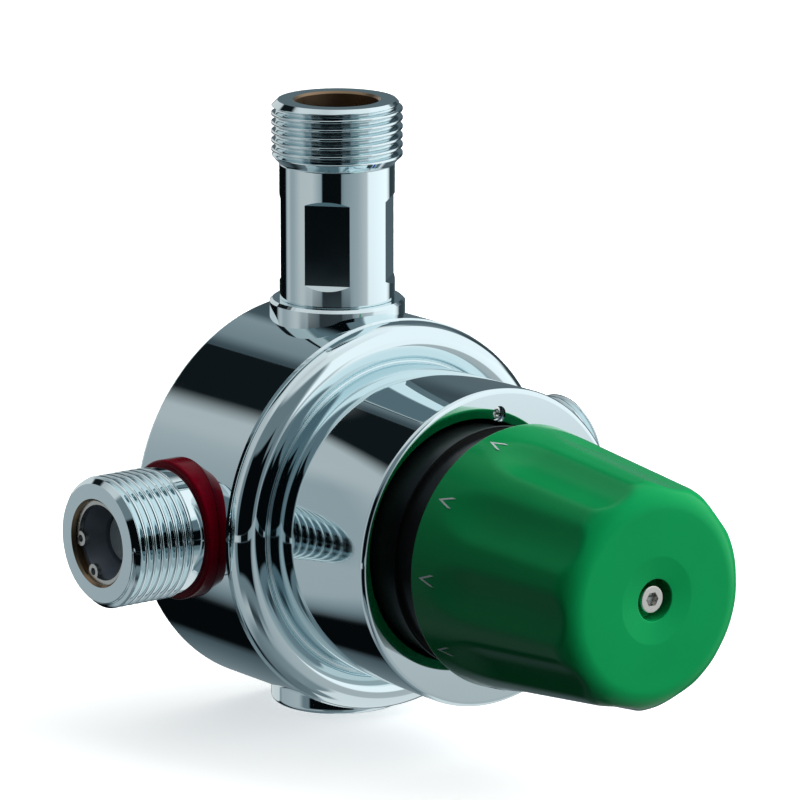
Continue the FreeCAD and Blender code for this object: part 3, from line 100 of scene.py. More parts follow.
# polish: smudges that dull the metal in soft patches, and a ripple left by the buffing wheel
polish, given, out = finish_group(
    "polish", {"Smudge scale": 90.0, "Dullest": 0.08, "Brightest": 0.03, "Ripple scale": 240.0},
    {"Roughness": "Float", "Height": "Float"})
patches = grain(polish, given.outputs["Smudge scale"], 4.0)
polish.links.new(spread(polish, patches, given.outputs["Brightest"], given.outputs["Dullest"]),
                 out.inputs["Roughness"])
polish.links.new(grain(polish, given.outputs["Ripple scale"], 1.0), out.inputs["Height"])


def finished(name, colour, group, amounts, bump, depth):
    """A material with its roughness and bump from a finish group, its surface node and its group node."""
    made = bpy.data.materials.new(name)
    made.use_nodes = True
    made.diffuse_color = colour
    tree = made.node_tree
    surface = tree.nodes["Principled BSDF"]
    surface.inputs["Base Color"].default_value = colour
    finish = tree.nodes.new("ShaderNodeGroup")
    finish.node_tree = group
    for label, value in amounts.items():
        finish.inputs[label].default_value = value
    dent = tree.nodes.new("ShaderNodeBump")
    dent.inputs["Strength"].default_value = bump
    dent.inputs["Distance"].default_value = depth
    tree.links.new(finish.outputs["Roughness"], surface.inputs["Roughness"])
    tree.links.new(finish.outputs["Height"], dent.inputs["Height"])
    tree.links.new(dent.outputs["Normal"], surface.inputs["Normal"])
    return made, surface, finish


def metal(name, colour, group, amounts, bump, metallic=1.0):
    """A metal with a finish. Below 1, metallic adds a dull tarnish."""
    made, surface, finish = finished(name, colour, group, amounts, bump, 0.00002)
    surface.inputs["Metallic"].default_value = metallic
    return made


chrome = metal("chrome_plate", PLATE_COLOUR, polish,
               {"Smudge scale": 70.0, "Dullest": 0.05, "Brightest": 0.012, "Ripple scale": 110.0}, 0.10)
cut_brass = metal("cut_brass", BRASS_COLOUR, polish,
                  {"Smudge scale": 300.0, "Dullest": 0.42, "Brightest": 0.24, "Ripple scale": 2600.0}, 0.35,
                  metallic=0.9)

# lathe marks: fine rings about the Y axis, left where a flat face was turned and not buffed
faced, given, out = finish_group("lathe_marks", {"Rings": 2600.0, "Dullest": 0.40, "Brightest": 0.27},
                                 {"Roughness": "Float", "Height": "Float"})
place = faced.nodes.new("ShaderNodeTexCoord")
parts = faced.nodes.new("ShaderNodeSeparateXYZ")
faced.links.new(place.outputs["Object"], parts.inputs[0])
outward = maths(faced, "SQRT", maths(
    faced, "ADD", maths(faced, "MULTIPLY", parts.outputs[0], parts.outputs[0]),
    maths(faced, "MULTIPLY", parts.outputs[2], parts.outputs[2])))
rings = faced.nodes.new("ShaderNodeTexNoise")
rings.noise_dimensions = "1D"
rings.inputs["Detail"].default_value = 2.0
faced.links.new(outward, rings.inputs["W"])
faced.links.new(given.outputs["Rings"], rings.inputs["Scale"])
faced.links.new(spread(faced, rings.outputs["Fac"], given.outputs["Brightest"], given.outputs["Dullest"]),
                out.inputs["Roughness"])
faced.links.new(rings.outputs["Fac"], out.inputs["Height"])
faced_plate = metal("faced_plate", PLATE_COLOUR, faced, {"Rings": 2600.0}, 0.35)


def keep(piece, *materials):
    """Gives a piece its materials in order. Each face keeps the number of its material."""
    numbers = [face.material_index for face in piece.data.polygons]
    piece.data.materials.clear()
    for one in materials:
        piece.data.materials.append(one)
    for face, number in zip(piece.data.polygons, numbers):
        face.material_index = number if number < len(materials) else 0


def turned_slope(spot, axis, radius, bend=0.0, at=0.0):
    """The true outward direction on a turned face about an axis, or None off that face.
    With a bend it is a rounded rim: an arc of that radius whose centre lies at a place on the axis."""
    along = spot["XYZ".index(axis)]
    across = spot.copy()
    across["XYZ".index(axis)] = 0.0
    if across.length < 1e-7:
        return None
    if not bend:
        return across.normalized() if abs(across.length - radius) < 3e-6 else None
    out = across.normalized() * (across.length - radius)
    out["XYZ".index(axis)] = along - at
    return out.normalized() if abs(out.length - bend) < 4e-6 else None


# The body's turned faces in metres, each with its axis and radius: drum, bosses, bores and seats, then
# the ports. The last two are the rounded rims of the drum and the lower boss, with the arc's own
# radius and its place on the axis.
drum_faces = [("Y", 0.040), ("Z", 0.0137), ("Y", 0.034), ("Y", 0.0288), ("Y", 0.017), ("Y", 0.014),
              ("Y", 0.0205), ("X", 0.00995), ("Z", 0.00995),
              ("Y", 0.0388, 0.0012, 0.0138), ("Z", 0.0124, 0.0013, -0.0406)]
BORE_RADIUS = 0.0342
BORE_FRONT = -0.0167
PORT_REACH = 0.036


def is_bored(middle, flat):
    """True for a face of the drum's stepped bore or of a port's wall, given its middle and direction."""
    in_bore = math.hypot(middle.x, middle.z) < BORE_RADIUS and middle.y > BORE_FRONT
    return in_bore or abs(flat.y) < 0.05 and middle.length < PORT_REACH


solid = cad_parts["valve_body"].data.copy()
work = bmesh.new()
work.from_mesh(solid)
bmesh.ops.remove_doubles(work, verts=work.verts, dist=1e-7)
slopes = []
rear = max(vertex.co.y for vertex in work.verts)
for face in work.faces:
    face.smooth = True
    flat = face.normal.copy()
    found = None
    for shape in drum_faces:
        guesses = [turned_slope(loop.vert.co, *shape) for loop in face.loops]
        if None in guesses:
            continue
        facing = sum(guesses, Vector()).normalized().dot(flat)
        if abs(facing) > 0.97:
            found = [guess * (1 if facing > 0 else -1) for guess in guesses]
            break
    slopes.extend(found or [flat] * len(face.loops))
    middle = face.calc_center_median()
    on_rear = middle.y > rear - 0.00001 and flat.y > 0.99
    face.material_index = 2 if on_rear else int(is_bored(middle, flat))
work.to_mesh(solid)
work.free()
solid.normals_split_custom_set([tuple(slope) for slope in slopes])
casting = bpy.data.objects.new("body_casting", solid)
bpy.context.scene.collection.objects.link(casting)
keep(casting, chrome, cut_brass, faced_plate)
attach(casting, "valve")
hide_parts("valve_body")

# Front cover: one turned piece of brass, chromed. A beaded rim covers the drum's front, and a long
# collar round the knob flares a little. It screws into the drum, and a ring seal lies behind it.
# Its section is drawn with the small eased edges that polishing leaves.
BEAD_CENTRE = 35.65
BEAD_RADIUS = 4.05
BEAD_Y = -17.2
COLLAR_ROOT = 31.6
COLLAR_FRONT = -50.5
COLLAR_BORE = 24.2
VALLEY = 0.30
BEAD_STEPS = 44
VALLEY_STEPS = 8
INDEX_HOLE = 1.6
INDEX_PLACE = (0.001598, 0.026903)


def eased(corners, step=11.0):
    """The points of an open section in mm. Each corner is (along, radius, easing), and the ends stay sharp.
    Every arc has a point close by on each side, so that the flat faces beside it stay flat."""
    points = []
    for index, (along, radius, easing) in enumerate(corners):
        here = Vector((along, radius))
        if not easing or index in (0, len(corners) - 1):
            points.append((along, radius))
            continue
        back = Vector(corners[index - 1][:2]) - here
        forth = Vector(corners[index + 1][:2]) - here
        turn = math.pi - back.angle(forth)
        cut = easing * math.tan(turn / 2)
        near = cut * 1.25 + 0.02
        middle = here + (back.normalized() + forth.normalized()).normalized() * easing / math.cos(turn / 2)
        start = here + back.normalized() * cut - middle
        end = here + forth.normalized() * cut - middle
        if near < 0.5 * back.length:
            points.append(tuple(here + back.normalized() * near))
        count = max(2, math.ceil(math.degrees(turn) / step))
        for k in range(count + 1):
            share = k / count
            arm = (start * math.sin((1 - share) * turn) + end * math.sin(share * turn)) / math.sin(turn)
            points.append(tuple(middle + arm))
        if near < 0.5 * forth.length:
            points.append(tuple(here + forth.normalized() * near))
    return points


def turned(points, axis, columns, closed=True):
    """A mesh turned about an axis from points in mm. A place or radius may be a function of the angle.
    Columns are a number or a list of angles, from +Z towards +X about Y, and else from the first axis
    to the second."""
    angles = columns if isinstance(columns, list) else [2 * math.pi * k / columns for k in range(columns)]
    made = bmesh.new()
    rows = []
    for along, radius in points:
        if not callable(radius) and radius < 1e-6:
            spot = [0.0, 0.0, 0.0]
            spot["XYZ".index(axis)] = along / 1000
            rows.append([made.verts.new(spot)])
            continue
        row = []
        for angle in angles:
            a = (along(angle) if callable(along) else along) / 1000
            r = (radius(angle) if callable(radius) else radius) / 1000
            c, s = r * math.cos(angle), r * math.sin(angle)
            row.append(made.verts.new({"X": (a, c, s), "Y": (s, a, c), "Z": (c, s, a)}[axis]))
        rows.append(row)
    for k in range(len(rows) if closed else len(rows) - 1):
        low, high = rows[k], rows[(k + 1) % len(rows)]
        for j in range(len(angles)):
            n = (j + 1) % len(angles)
            if len(low) == 1 and len(high) == 1:
                break
            if len(low) == 1:
                made.faces.new((low[0], high[n], high[j]))
            elif len(high) == 1:
                made.faces.new((low[j], low[n], high[0]))
            else:
                made.faces.new((low[j], low[n], high[n], high[j]))
    bmesh.ops.remove_doubles(made, verts=made.verts, dist=2e-7)
    bmesh.ops.dissolve_degenerate(made, edges=made.edges, dist=2e-7)
    bmesh.ops.recalc_face_normals(made, faces=made.faces)
    return made


def new_piece(name, made, *materials, inner=None, sharp=28.0):
    """Makes an object from a bmesh. Faces for which inner is true take the second material."""
    mesh = bpy.data.meshes.new(name)
    for face in made.faces:
        face.smooth = True
        if inner and inner(face.calc_center_median() * 1000):
            face.material_index = 1
    made.to_mesh(mesh)
    made.free()
    mesh.set_sharp_from_angle(angle=math.radians(sharp))
    piece = bpy.data.objects.new(name, mesh)
    bpy.context.scene.collection.objects.link(piece)
    keep(piece, *materials)
    return piece


# The section in mm goes from the rim's rear face over the bead and through the valley to the collar's
# front, then back along its bore and over the flange that clamps the bonnet.
run = math.sqrt(4 * BEAD_RADIUS * VALLEY)
meet = math.atan2(run, VALLEY - BEAD_RADIUS)
section = [(-16.62, 33.9), (-16.62, 39.3)]
for k in range(BEAD_STEPS + 1):
    lean = meet * k / BEAD_STEPS
    section.append((BEAD_Y - BEAD_RADIUS * math.sin(lean), BEAD_CENTRE + BEAD_RADIUS * math.cos(lean)))
for k in range(1, VALLEY_STEPS + 1):
    lean = meet + math.pi - meet * k / VALLEY_STEPS
    section.append((BEAD_Y - run - VALLEY * math.sin(lean), COLLAR_ROOT + VALLEY + VALLEY * math.cos(lean)))
section += eased([
    section[-1] + (0,), (COLLAR_FRONT, 32.1, 0.9), (COLLAR_FRONT, COLLAR_BORE, 0.35),
    (-21.0, COLLAR_BORE, 0.3), (-21.0, 16.6, 0.2), (-16.6, 16.6, 0.0), (-16.6, 29.1, 0.0),
    (-13.8, 29.1, 0.0), (-13.8, 33.9, 0.0),
])[1:]
cover = new_piece("cover_with_collar", turned(section, "Y", 480), chrome)
drill = new_piece("drill", turned([(-52.0, 0.0), (-52.0, INDEX_HOLE), (-43.5, INDEX_HOLE), (-43.5, 0.0)],
                                  "Y", 48, closed=False), chrome)
drill.data.transform(Matrix.Translation((INDEX_PLACE[0], 0.0, INDEX_PLACE[1])))
cut = cover.modifiers.new("index_hole", "BOOLEAN")
cut.object = drill
cut.operation = "DIFFERENCE"
cut.solver = "EXACT"
drilled = bpy.data.meshes.new_from_object(cover.evaluated_get(bpy.context.evaluated_depsgraph_get()))
cover.modifiers.remove(cut)
cover.data = drilled
drilled.set_sharp_from_angle(angle=math.radians(28.0))
bpy.data.objects.remove(drill)
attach(cover, "valve")
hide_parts("front_cover")

# Index screw: a small stainless grub screw with a hexagon socket, sunk in the hole on the collar's
# front face. Its edge stands as the pointer that the knob's marks are read against.
# The socket's six walls are straight, its rim is eased.

# tumbled: the fine soft sheen of small steel parts
tumbled, given, out = finish_group("tumbled", {"Scale": 900.0, "Dullest": 0.35, "Brightest": 0.18},
                                   {"Roughness": "Float", "Height": "Float"})
specks = grain(tumbled, given.outputs["Scale"], 3.0)
tumbled.links.new(spread(tumbled, specks, given.outputs["Brightest"], given.outputs["Dullest"]),
                  out.inputs["Roughness"])
tumbled.links.new(specks, out.inputs["Height"])
stainless = metal("stainless_steel", (0.62, 0.61, 0.58, 1.0), tumbled, {"Scale": 1500.0}, 0.08)
bright_steel = metal("bright_steel", (0.86, 0.87, 0.86, 1.0), tumbled,
                     {"Scale": 900.0, "Dullest": 0.2, "Brightest": 0.1}, 0.03)
spring_steel = metal("spring_steel", (0.48, 0.47, 0.44, 1.0), tumbled,
                     {"Scale": 2400.0, "Dullest": 0.4, "Brightest": 0.25}, 0.3)


def hexagon(across):
    """Radius of a hexagon, given across its flats, as a function of the angle."""
    return lambda angle: across / 2 / math.cos((angle + math.pi / 6) % (math.pi / 3) - math.pi / 6)


def socket_screw(name, front, head, shank, rear, shoulder, across, depth, easing, material):
    """A screw about the Y axis with its face to the front: head radius, shank radius, hexagon socket."""
    step = [] if shank == head else [(shoulder, shank, 0.0), (shoulder, head, 0.1)]
    fine = eased([(rear, 0.0, 0), (rear, shank, 0.2), *step, (front, head, easing),
                  (front, across / 2 + 0.3, 0.0)])
    six = hexagon(across)
    walls = [(front, lambda angle: six(angle) + 0.08), (front + 0.08, six), (front + depth, six),
             (front + depth + across * 0.25, 0.0)]
    return new_piece(name, turned(fine + walls, "Y", 96, closed=False), material)


index_screw = socket_screw("index_grub_screw", front=-49.6, head=1.5, shank=1.5, rear=-44.6, shoulder=0.0,
                           across=1.5, depth=1.1, easing=0.22, material=bright_steel)
index_screw.data.transform(Matrix.Translation((INDEX_PLACE[0], 0.0, INDEX_PLACE[1])))
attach(index_screw, "valve")
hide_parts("index_screw")

# Outlet connector: a chromed nipple turned from brass, screwed into the upper boss. It has four
# wrench flats and ends in an outside pipe thread of fourteen turns to the inch.
# The thread is cut by a node tree, which lowers a plain turned blank along its screw line.
THREAD_PITCH = 1.814
THREAD_DEPTH = 1.16
MAJOR_RADIUS = 13.22
PLATED_DEPTH = 0.0016


def geometry_tree(name, inputs):
    """An empty Geometry Nodes tree with named number inputs, and its two end nodes."""
    tree = bpy.data.node_groups.new(name, "GeometryNodeTree")
    tree.interface.new_socket("Geometry", in_out="INPUT", socket_type="NodeSocketGeometry")
    for label, value in inputs.items():
        kind = "Int" if isinstance(value, int) else "Float"
        socket = tree.interface.new_socket(label, in_out="INPUT", socket_type="NodeSocket" + kind)
        socket.default_value = value
    tree.interface.new_socket("Geometry", in_out="OUTPUT", socket_type="NodeSocketGeometry")
    return tree, tree.nodes.new("NodeGroupInput"), tree.nodes.new("NodeGroupOutput")


def end_tree(tree, geometry, out, material, where=None):
    """Ends a tree: instances made real, then the material."""
    real = tree.nodes.new("GeometryNodeRealizeInstances")
    paint = tree.nodes.new("GeometryNodeSetMaterial")
    paint.inputs["Material"].default_value = material
    tree.links.new(geometry, real.inputs["Geometry"])
    tree.links.new(real.outputs["Geometry"], paint.inputs["Geometry"])
    if where:
        tree.links.new(where, paint.inputs["Selection"])
    tree.links.new(paint.outputs["Geometry"], out.inputs["Geometry"])


def run_tree(piece, tree, sizes):
    """Runs a tree on a piece with the sizes given by name, and keeps the result as a plain mesh."""
    modifier = piece.modifiers.new(tree.name, "NODES")
    modifier.node_group = tree
    for item in tree.interface.items_tree:
        if item.in_out == "INPUT" and item.name in sizes:
            modifier[item.identifier] = sizes[item.name]
    graph = bpy.context.evaluated_depsgraph_get()
    result = bpy.data.meshes.new_from_object(piece.evaluated_get(graph))
    piece.modifiers.remove(modifier)
    piece.data = result


def places(tree):
    """The three coordinates of each point."""
    place = tree.nodes.new("GeometryNodeInputPosition")
    parts = tree.nodes.new("ShaderNodeSeparateXYZ")
    tree.links.new(place.outputs[0], parts.inputs[0])
    return tuple(parts.outputs)


def move_points(tree, geometry, x, y, z):
    """Moves each point to the place that three sockets give."""
    join = tree.nodes.new("ShaderNodeCombineXYZ")
    for socket, value in zip(join.inputs, (x, y, z)):
        tree.links.new(value, socket)
    move = tree.nodes.new("GeometryNodeSetPosition")
    tree.links.new(geometry, move.inputs["Geometry"])
    tree.links.new(join.outputs[0], move.inputs["Position"])
    return move.outputs["Geometry"]


def polar(tree):
    """The three coordinates of each point, its distance from Z and its angle about Z."""
    x, y, z = places(tree)
    square = maths(tree, "ADD", maths(tree, "MULTIPLY", x, x), maths(tree, "MULTIPLY", y, y))
    return x, y, z, maths(tree, "SQRT", square), maths(tree, "ARCTAN2", y, x)


def set_radius(tree, geometry, x, y, z, radius, new_radius):
    """Moves each point to a new distance from Z."""
    share = maths(tree, "DIVIDE", new_radius, maths(tree, "MAXIMUM", radius, 1e-6))
    new_x, new_y = [maths(tree, "MULTIPLY", old, share) for old in (x, y)]
    return move_points(tree, geometry, new_x, new_y, z)


# Of each turn of the thread, 15 percent is its flat crest and 6 percent its root.
threading, given, out = geometry_tree("cut_pipe_thread", {
    "Major Radius": MAJOR_RADIUS / 1000, "Depth": THREAD_DEPTH / 1000, "Pitch": THREAD_PITCH / 1000,
    "From": 0.0, "Run Out": 0.001})
x, y, z, radius, angle = polar(threading)
turns = maths(threading, "SUBTRACT", maths(threading, "DIVIDE", z, given.outputs["Pitch"]),
              maths(threading, "DIVIDE", angle, 2 * math.pi))
ridge = maths(threading, "ABSOLUTE", maths(threading, "SUBTRACT", maths(
    threading, "MULTIPLY", maths(threading, "FRACT", turns), 2.0), 1.0))
groove = spread(threading, ridge, floor=0.15, top=0.94, curve="SMOOTHSTEP")
fade = spread(threading, z, floor=given.outputs["From"],
              top=maths(threading, "ADD", given.outputs["From"], given.outputs["Run Out"]))
depth = maths(threading, "MULTIPLY", maths(threading, "MULTIPLY", groove, fade), given.outputs["Depth"])
major = given.outputs["Major Radius"]
cut_radius = maths(threading, "MINIMUM", radius, maths(threading, "SUBTRACT", major, depth))
outer = maths(threading, "GREATER_THAN", radius, maths(threading, "SUBTRACT", major, PLATED_DEPTH))
threaded = set_radius(threading, given.outputs["Geometry"], x, y, z, radius, cut_radius)
end_tree(threading, threaded, out, chrome, outer)


ROWS_A_TURN = 24
CONE_ROWS = 14


def thread_rows(start, end):
    """Close rows of the blank where the thread is cut."""
    count = math.ceil((end - start) / THREAD_PITCH * ROWS_A_TURN)
    return [(start + (end - start) * k / count, MAJOR_RADIUS) for k in range(1, count)]


def end_rows(tip, chamfer, inner):
    """The chamfered end of a threaded blank in close rows, then its flat face down to the bore."""
    cone = [(tip - chamfer * (1 - k / CONE_ROWS), MAJOR_RADIUS - chamfer * k / CONE_ROWS)
            for k in range(CONE_ROWS)]
    return cone + eased([(tip - chamfer, MAJOR_RADIUS, 0), (tip, MAJOR_RADIUS - chamfer, 0.08),
                         (tip, inner, 0.0)])[1:-1]


OUTLET_FACE = 82.4
OUTLET_BORE = 8.35
CHAMFER = 1.3
TUBE = 11.64
FLAT = 10.7
FLATS_TURNED = math.radians(42.2)
LOW, HIGH = 46.3, 62.6

# Columns of the blank lie closer across each flat, and one stands on each of its edges.
edge = math.acos(FLAT / TUBE)
ring = sorted({round((FLATS_TURNED + quarter * math.pi / 2 + lean) % (2 * math.pi), 9) for quarter in range(4)
               for lean in [edge * k / 12 for k in range(-12, 13)]
               + [edge + (math.pi / 2 - 2 * edge) * k / 24 for k in range(25)]})


def beside(angle):
    """How far an angle lies from the middle of the nearest flat."""
    return abs((angle - FLATS_TURNED + math.pi / 4) % (math.pi / 2) - math.pi / 4)


def flat_radius(angle):
    """Radius of the tube where the flats are cut."""
    return min(TUBE, FLAT / math.cos(beside(angle)))


def end_of(level, way):
    """Where the sloping end of a flat meets the tube."""
    return lambda angle: level - way * max(0.0, TUBE * math.cos(beside(angle)) - FLAT)


# The section in mm goes up the outside, along spigot, tube, flats and thread, and down the bore.
nipple = eased([(25.5, OUTLET_BORE, 0.3), (25.5, 9.9, 0.3), (41.9, 9.9, 0.0), (41.9, TUBE, 0.15),
                (45.0, TUBE, 0.0)])
nipple += [(end_of(LOW, 1), TUBE), (LOW, flat_radius), (HIGH, flat_radius), (end_of(HIGH, -1), TUBE),
           (64.5, TUBE)]
nipple += eased([(64.5, TUBE, 0), (69.6, TUBE, 0.5), (71.18, MAJOR_RADIUS, 0.0)])[1:]
nipple += thread_rows(71.18, OUTLET_FACE - CHAMFER) + end_rows(OUTLET_FACE, CHAMFER, 8.8)
nipple += eased([(OUTLET_FACE, 8.8, 0.05), (81.95, OUTLET_BORE, 0.1), (25.5, OUTLET_BORE, 0.3)])[:-1]
outlet = new_piece("outlet_nipple", turned(nipple, "Z", ring), chrome, cut_brass, sharp=18.0,
                   inner=lambda m: math.hypot(m.x, m.y) < OUTLET_BORE + 0.25)
run_tree(outlet, threading, {"From": 0.0711, "Run Out": 0.0008})
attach(outlet, "valve")
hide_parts("outlet_connector")

# Inlet connectors: two short chromed nipples with the same thread, screwed into the drum's sides.
# Each blank is turned upright, threaded by the same tree, then laid on its side.
FACE = 59.6
BORE = 8.47
THROAT = 7.2
CLIP_GROOVE = 9.3
blank = eased([(28.6, THROAT, 0.2), (28.6, 9.9, 0.3), (42.2, 9.9, 0.0), (42.2, 12.9, 0.15),
               (45.3, 12.9, 0.1), (45.62, MAJOR_RADIUS, 0.0)])
blank += thread_rows(45.62, FACE - CHAMFER) + end_rows(FACE, CHAMFER, 8.92)
blank += eased([(FACE, 8.92, 0.05), (59.15, BORE, 0.08), (58.7, BORE, 0.05), (58.7, CLIP_GROOVE, 0.0),
                (57.5, CLIP_GROOVE, 0.0), (57.5, BORE, 0.05), (44.0, BORE, 0.0), (44.0, THROAT, 0.1),
                (28.6, THROAT, 0.2)])[:-1]
for side, lay in (("hot", -1), ("cold", 1)):
    inlet = new_piece(side + "_nipple", turned(blank, "Z", 144), chrome, cut_brass,
                      inner=lambda m: math.hypot(m.x, m.y) < CLIP_GROOVE + 0.05 and m.z > 43.0)
    run_tree(inlet, threading, {"From": 0.0455, "Run Out": 0.0006})
    inlet.data.transform(Matrix.Rotation(lay * math.pi / 2, 4, "Y"))
    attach(inlet, "valve")
    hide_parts(side + "_connector")

# Marker rings: moulded glossy rings, red for hot and blue for cold, held between each inlet
# connector and the drum. Their inner end is hollowed to sit on the drum.
# The plastic has a faint orange peel and slow changes of tone.
moulded, given, out = finish_group(
    "moulded",
    {"Grain scale": 1800.0, "Dullest": 0.4, "Brightest": 0.25, "Tone low": 0.9, "Tone high": 1.05},
    {"Roughness": "Float", "Height": "Float", "Tone": "Float"})
peel = grain(moulded, given.outputs["Grain scale"], 2.0)
cloudy = grain(moulded, 60.0, 3.0)
moulded.links.new(spread(moulded, cloudy, given.outputs["Brightest"], given.outputs["Dullest"]),
                  out.inputs["Roughness"])
moulded.links.new(peel, out.inputs["Height"])
moulded.links.new(spread(moulded, cloudy, given.outputs["Tone low"], given.outputs["Tone high"]),
                  out.inputs["Tone"])


def colour_mix(tree, share, first, second, way="MIX"):
    """Mixes two colours. The share and the colours are values or sockets."""
    node = tree.nodes.new("ShaderNodeMix")
    node.data_type = "RGBA"
    node.blend_type = way
    ends = {socket.identifier: socket for socket in [*node.inputs, *node.outputs]}
    feed(tree, share, ends["Factor_Float"])
    feed(tree, first, ends["A_Color"])
    feed(tree, second, ends["B_Color"])
    return ends["Result_Color"]


def plastic(name, colour, amounts, bump, specular=0.5, tint=(1.0, 1.0, 1.0, 1.0), soft=0.0):
    """A moulded plastic or rubber with its tone, roughness and bump from the moulded group."""
    made, surface, finish = finished(name, colour, moulded, amounts, bump, 0.00003)
    surface.inputs["Specular IOR Level"].default_value = specular
    surface.inputs["Specular Tint"].default_value = tint
    surface.inputs["Subsurface Weight"].default_value = soft
    tree = made.node_tree
    shade = colour_mix(tree, 1.0, colour, finish.outputs["Tone"], way="MULTIPLY")
    tree.links.new(shade, surface.inputs["Base Color"])
    return made


ring_finish = {"Grain scale": 1500.0, "Dullest": 0.22, "Brightest": 0.12}
ring_red = plastic("ring_red", (0.17, 0.0, 0.009, 1.0), ring_finish, 0.15,
                   specular=0.07, tint=(1.0, 0.1, 0.2, 1.0))
ring_blue = plastic("ring_blue", (0.006, 0.035, 0.26, 1.0), ring_finish, 0.15,
                    specular=0.2, tint=(0.2, 0.4, 1.0, 1.0))
RING_BORE = 10.0
RING_RADIUS = 14.1
RING_OUTER_END = 42.2
SADDLE = 40.05
for side, lay, colour in (("hot", -1, ring_red), ("cold", 1, ring_blue)):
    def seat(radius, lay=lay):
        """Where the ring's wall at a radius meets the drum."""
        return lambda angle: lay * math.sqrt(SADDLE ** 2 - (radius * math.sin(angle)) ** 2)
    profile = eased([(lay * 38.0, RING_BORE, 0), (lay * RING_OUTER_END, RING_BORE, 0.2),
                     (lay * RING_OUTER_END, RING_RADIUS, 0.6), (lay * 38.0, RING_RADIUS, 0)])
    profile[0] = (seat(RING_BORE), RING_BORE)
    profile[-1] = (seat(RING_RADIUS), RING_RADIUS)
    marker = new_piece(side + "_ring", turned(profile, "X", 144), colour)
    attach(marker, "valve")
    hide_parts(side + "_marker_ring")

# Check valves: a grey moulded housing with a pale, slightly translucent poppet in each inlet, held by
# a clip of stamped steel. The imported solids are right and stay. Only each small spring is a copy of
# its solid, with a mesh of its own.
check_grey = plastic("check_grey", (0.20, 0.25, 0.32, 1.0),
                     {"Grain scale": 2500.0, "Dullest": 0.45, "Brightest": 0.3}, 0.2)
poppet_pale = plastic("poppet_pale", (0.80, 0.92, 0.98, 1.0),
                      {"Grain scale": 2500.0, "Dullest": 0.4, "Brightest": 0.28}, 0.2, soft=0.1)
seal_black = plastic("seal_black", (0.012, 0.012, 0.013, 1.0),
                     {"Grain scale": 3500.0, "Dullest": 0.62, "Brightest": 0.45}, 0.4)
seal_fibre = plastic("seal_fibre", (0.10, 0.07, 0.045, 1.0),
                     {"Grain scale": 5200.0, "Dullest": 0.9, "Brightest": 0.7}, 0.7)
for side in ("hot", "cold"):
    keep(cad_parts[side + "_check_housing"], check_grey)
    keep(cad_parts[side + "_check_poppet"], poppet_pale)
    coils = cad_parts[side + "_check_spring"].data.copy()
    spring = bpy.data.objects.new(side + "_poppet_spring", coils)
    bpy.context.scene.collection.objects.link(spring)
    keep(spring, spring_steel)
    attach(spring, "valve")
    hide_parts(side + "_check_spring")
    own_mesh(spring)
    keep(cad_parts[side + "_check_seal"], seal_black)
    keep(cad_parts[side + "_connector_seal"], seal_fibre)
    keep(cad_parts[side + "_clip"], stainless)
keep(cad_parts["outlet_seal"], seal_fibre)
keep(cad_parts["cover_seal"], seal_black)

# Cartridge: a pale engineering plastic sleeve with its shuttle, a brass seat ring, a wax element
# with its return spring, and rubber ring seals. All of it sits inside the drum.
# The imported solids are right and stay, each with the finish of its real material.
cartridge_ivory = plastic("cartridge_ivory", (0.55, 0.52, 0.44, 1.0),
                          {"Grain scale": 2000.0, "Dullest": 0.5, "Brightest": 0.35}, 0.25)
element_copper = metal("element_copper", (0.58, 0.33, 0.22, 1.0), tumbled, {"Scale": 1800.0}, 0.25)
turned_brass = metal("turned_brass", (0.62, 0.48, 0.25, 1.0), polish,
                     {"Smudge scale": 400.0, "Dullest": 0.34, "Brightest": 0.18, "Ripple scale": 3000.0},
                     0.3)
for name in ("cartridge_sleeve", "mixing_shuttle"):
    keep(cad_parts[name], cartridge_ivory)
for name in ("sleeve_seal_rear", "sleeve_seal_middle", "sleeve_seal_front", "shuttle_seal"):
    keep(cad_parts[name], seal_black)
keep(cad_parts["hot_seat_ring"], turned_brass)
keep(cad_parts["wax_element"], element_copper)
keep(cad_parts["return_spring"], spring_steel)

# Control parts: bonnet, spindle, regulating nut and overload plunger, turned from brass, with their
# steel clips, spring and ring seal. They sit inside the collar behind the knob.
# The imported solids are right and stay.
for name in ("bonnet", "spindle", "regulating_nut", "overload_plunger"):
    keep(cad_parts[name], turned_brass)
for name in ("nut_clip", "spindle_clip", "overload_spring"):
    keep(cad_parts[name], spring_steel)
keep(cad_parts["spindle_seal"], seal_black)

# Stop ring: black moulded plastic behind the knob, keyed on the bonnet. Only its disc and sleeve
# show in the gap between the collar and the knob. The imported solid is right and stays.
ring_black = plastic("ring_black", (0.010, 0.011, 0.012, 1.0),
                     {"Grain scale": 2200.0, "Dullest": 0.42, "Brightest": 0.28}, 0.3)
keep(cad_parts["stop_ring"], ring_black)

# Knob: one green moulding, a tapered skirt with ten shallow flutes that run out before its rear
# edge and deepen to the rounded front corner. A dished recess in front takes the screw.
# A node tree presses the flutes into the plain turned shell, with the soft edges of a moulding.
REAR_Y, FRONT_Y = -58.2, -101.0
LENGTH = REAR_Y - FRONT_Y
REAR_RADIUS, TAPER = 26.45, 0.097
WALL = 2.0
SCREW_RECESS = 4.13
SCREW_HOLE = 1.7
knob_green = plastic("knob_green", (0.004, 0.30, 0.082, 1.0),
                     {"Grain scale": 1300.0, "Dullest": 0.17, "Brightest": 0.11, "Tone low": 0.95,
                      "Tone high": 1.03}, 0.04, specular=0.16, tint=(0.08, 1.0, 0.55, 1.0))

fluting, given, out = geometry_tree("press_flutes", {
    "Count": 10, "First Angle": 0.0, "Rear Radius": REAR_RADIUS / 1000, "Taper": TAPER, "Depth": 0.001,
    "Floor Radius": 0.024, "Start": 0.006, "Run Radius": 0.050, "Soft Edge": 0.0009, "Inner Limit": 0.0})
x, y, z, radius, angle = polar(fluting)

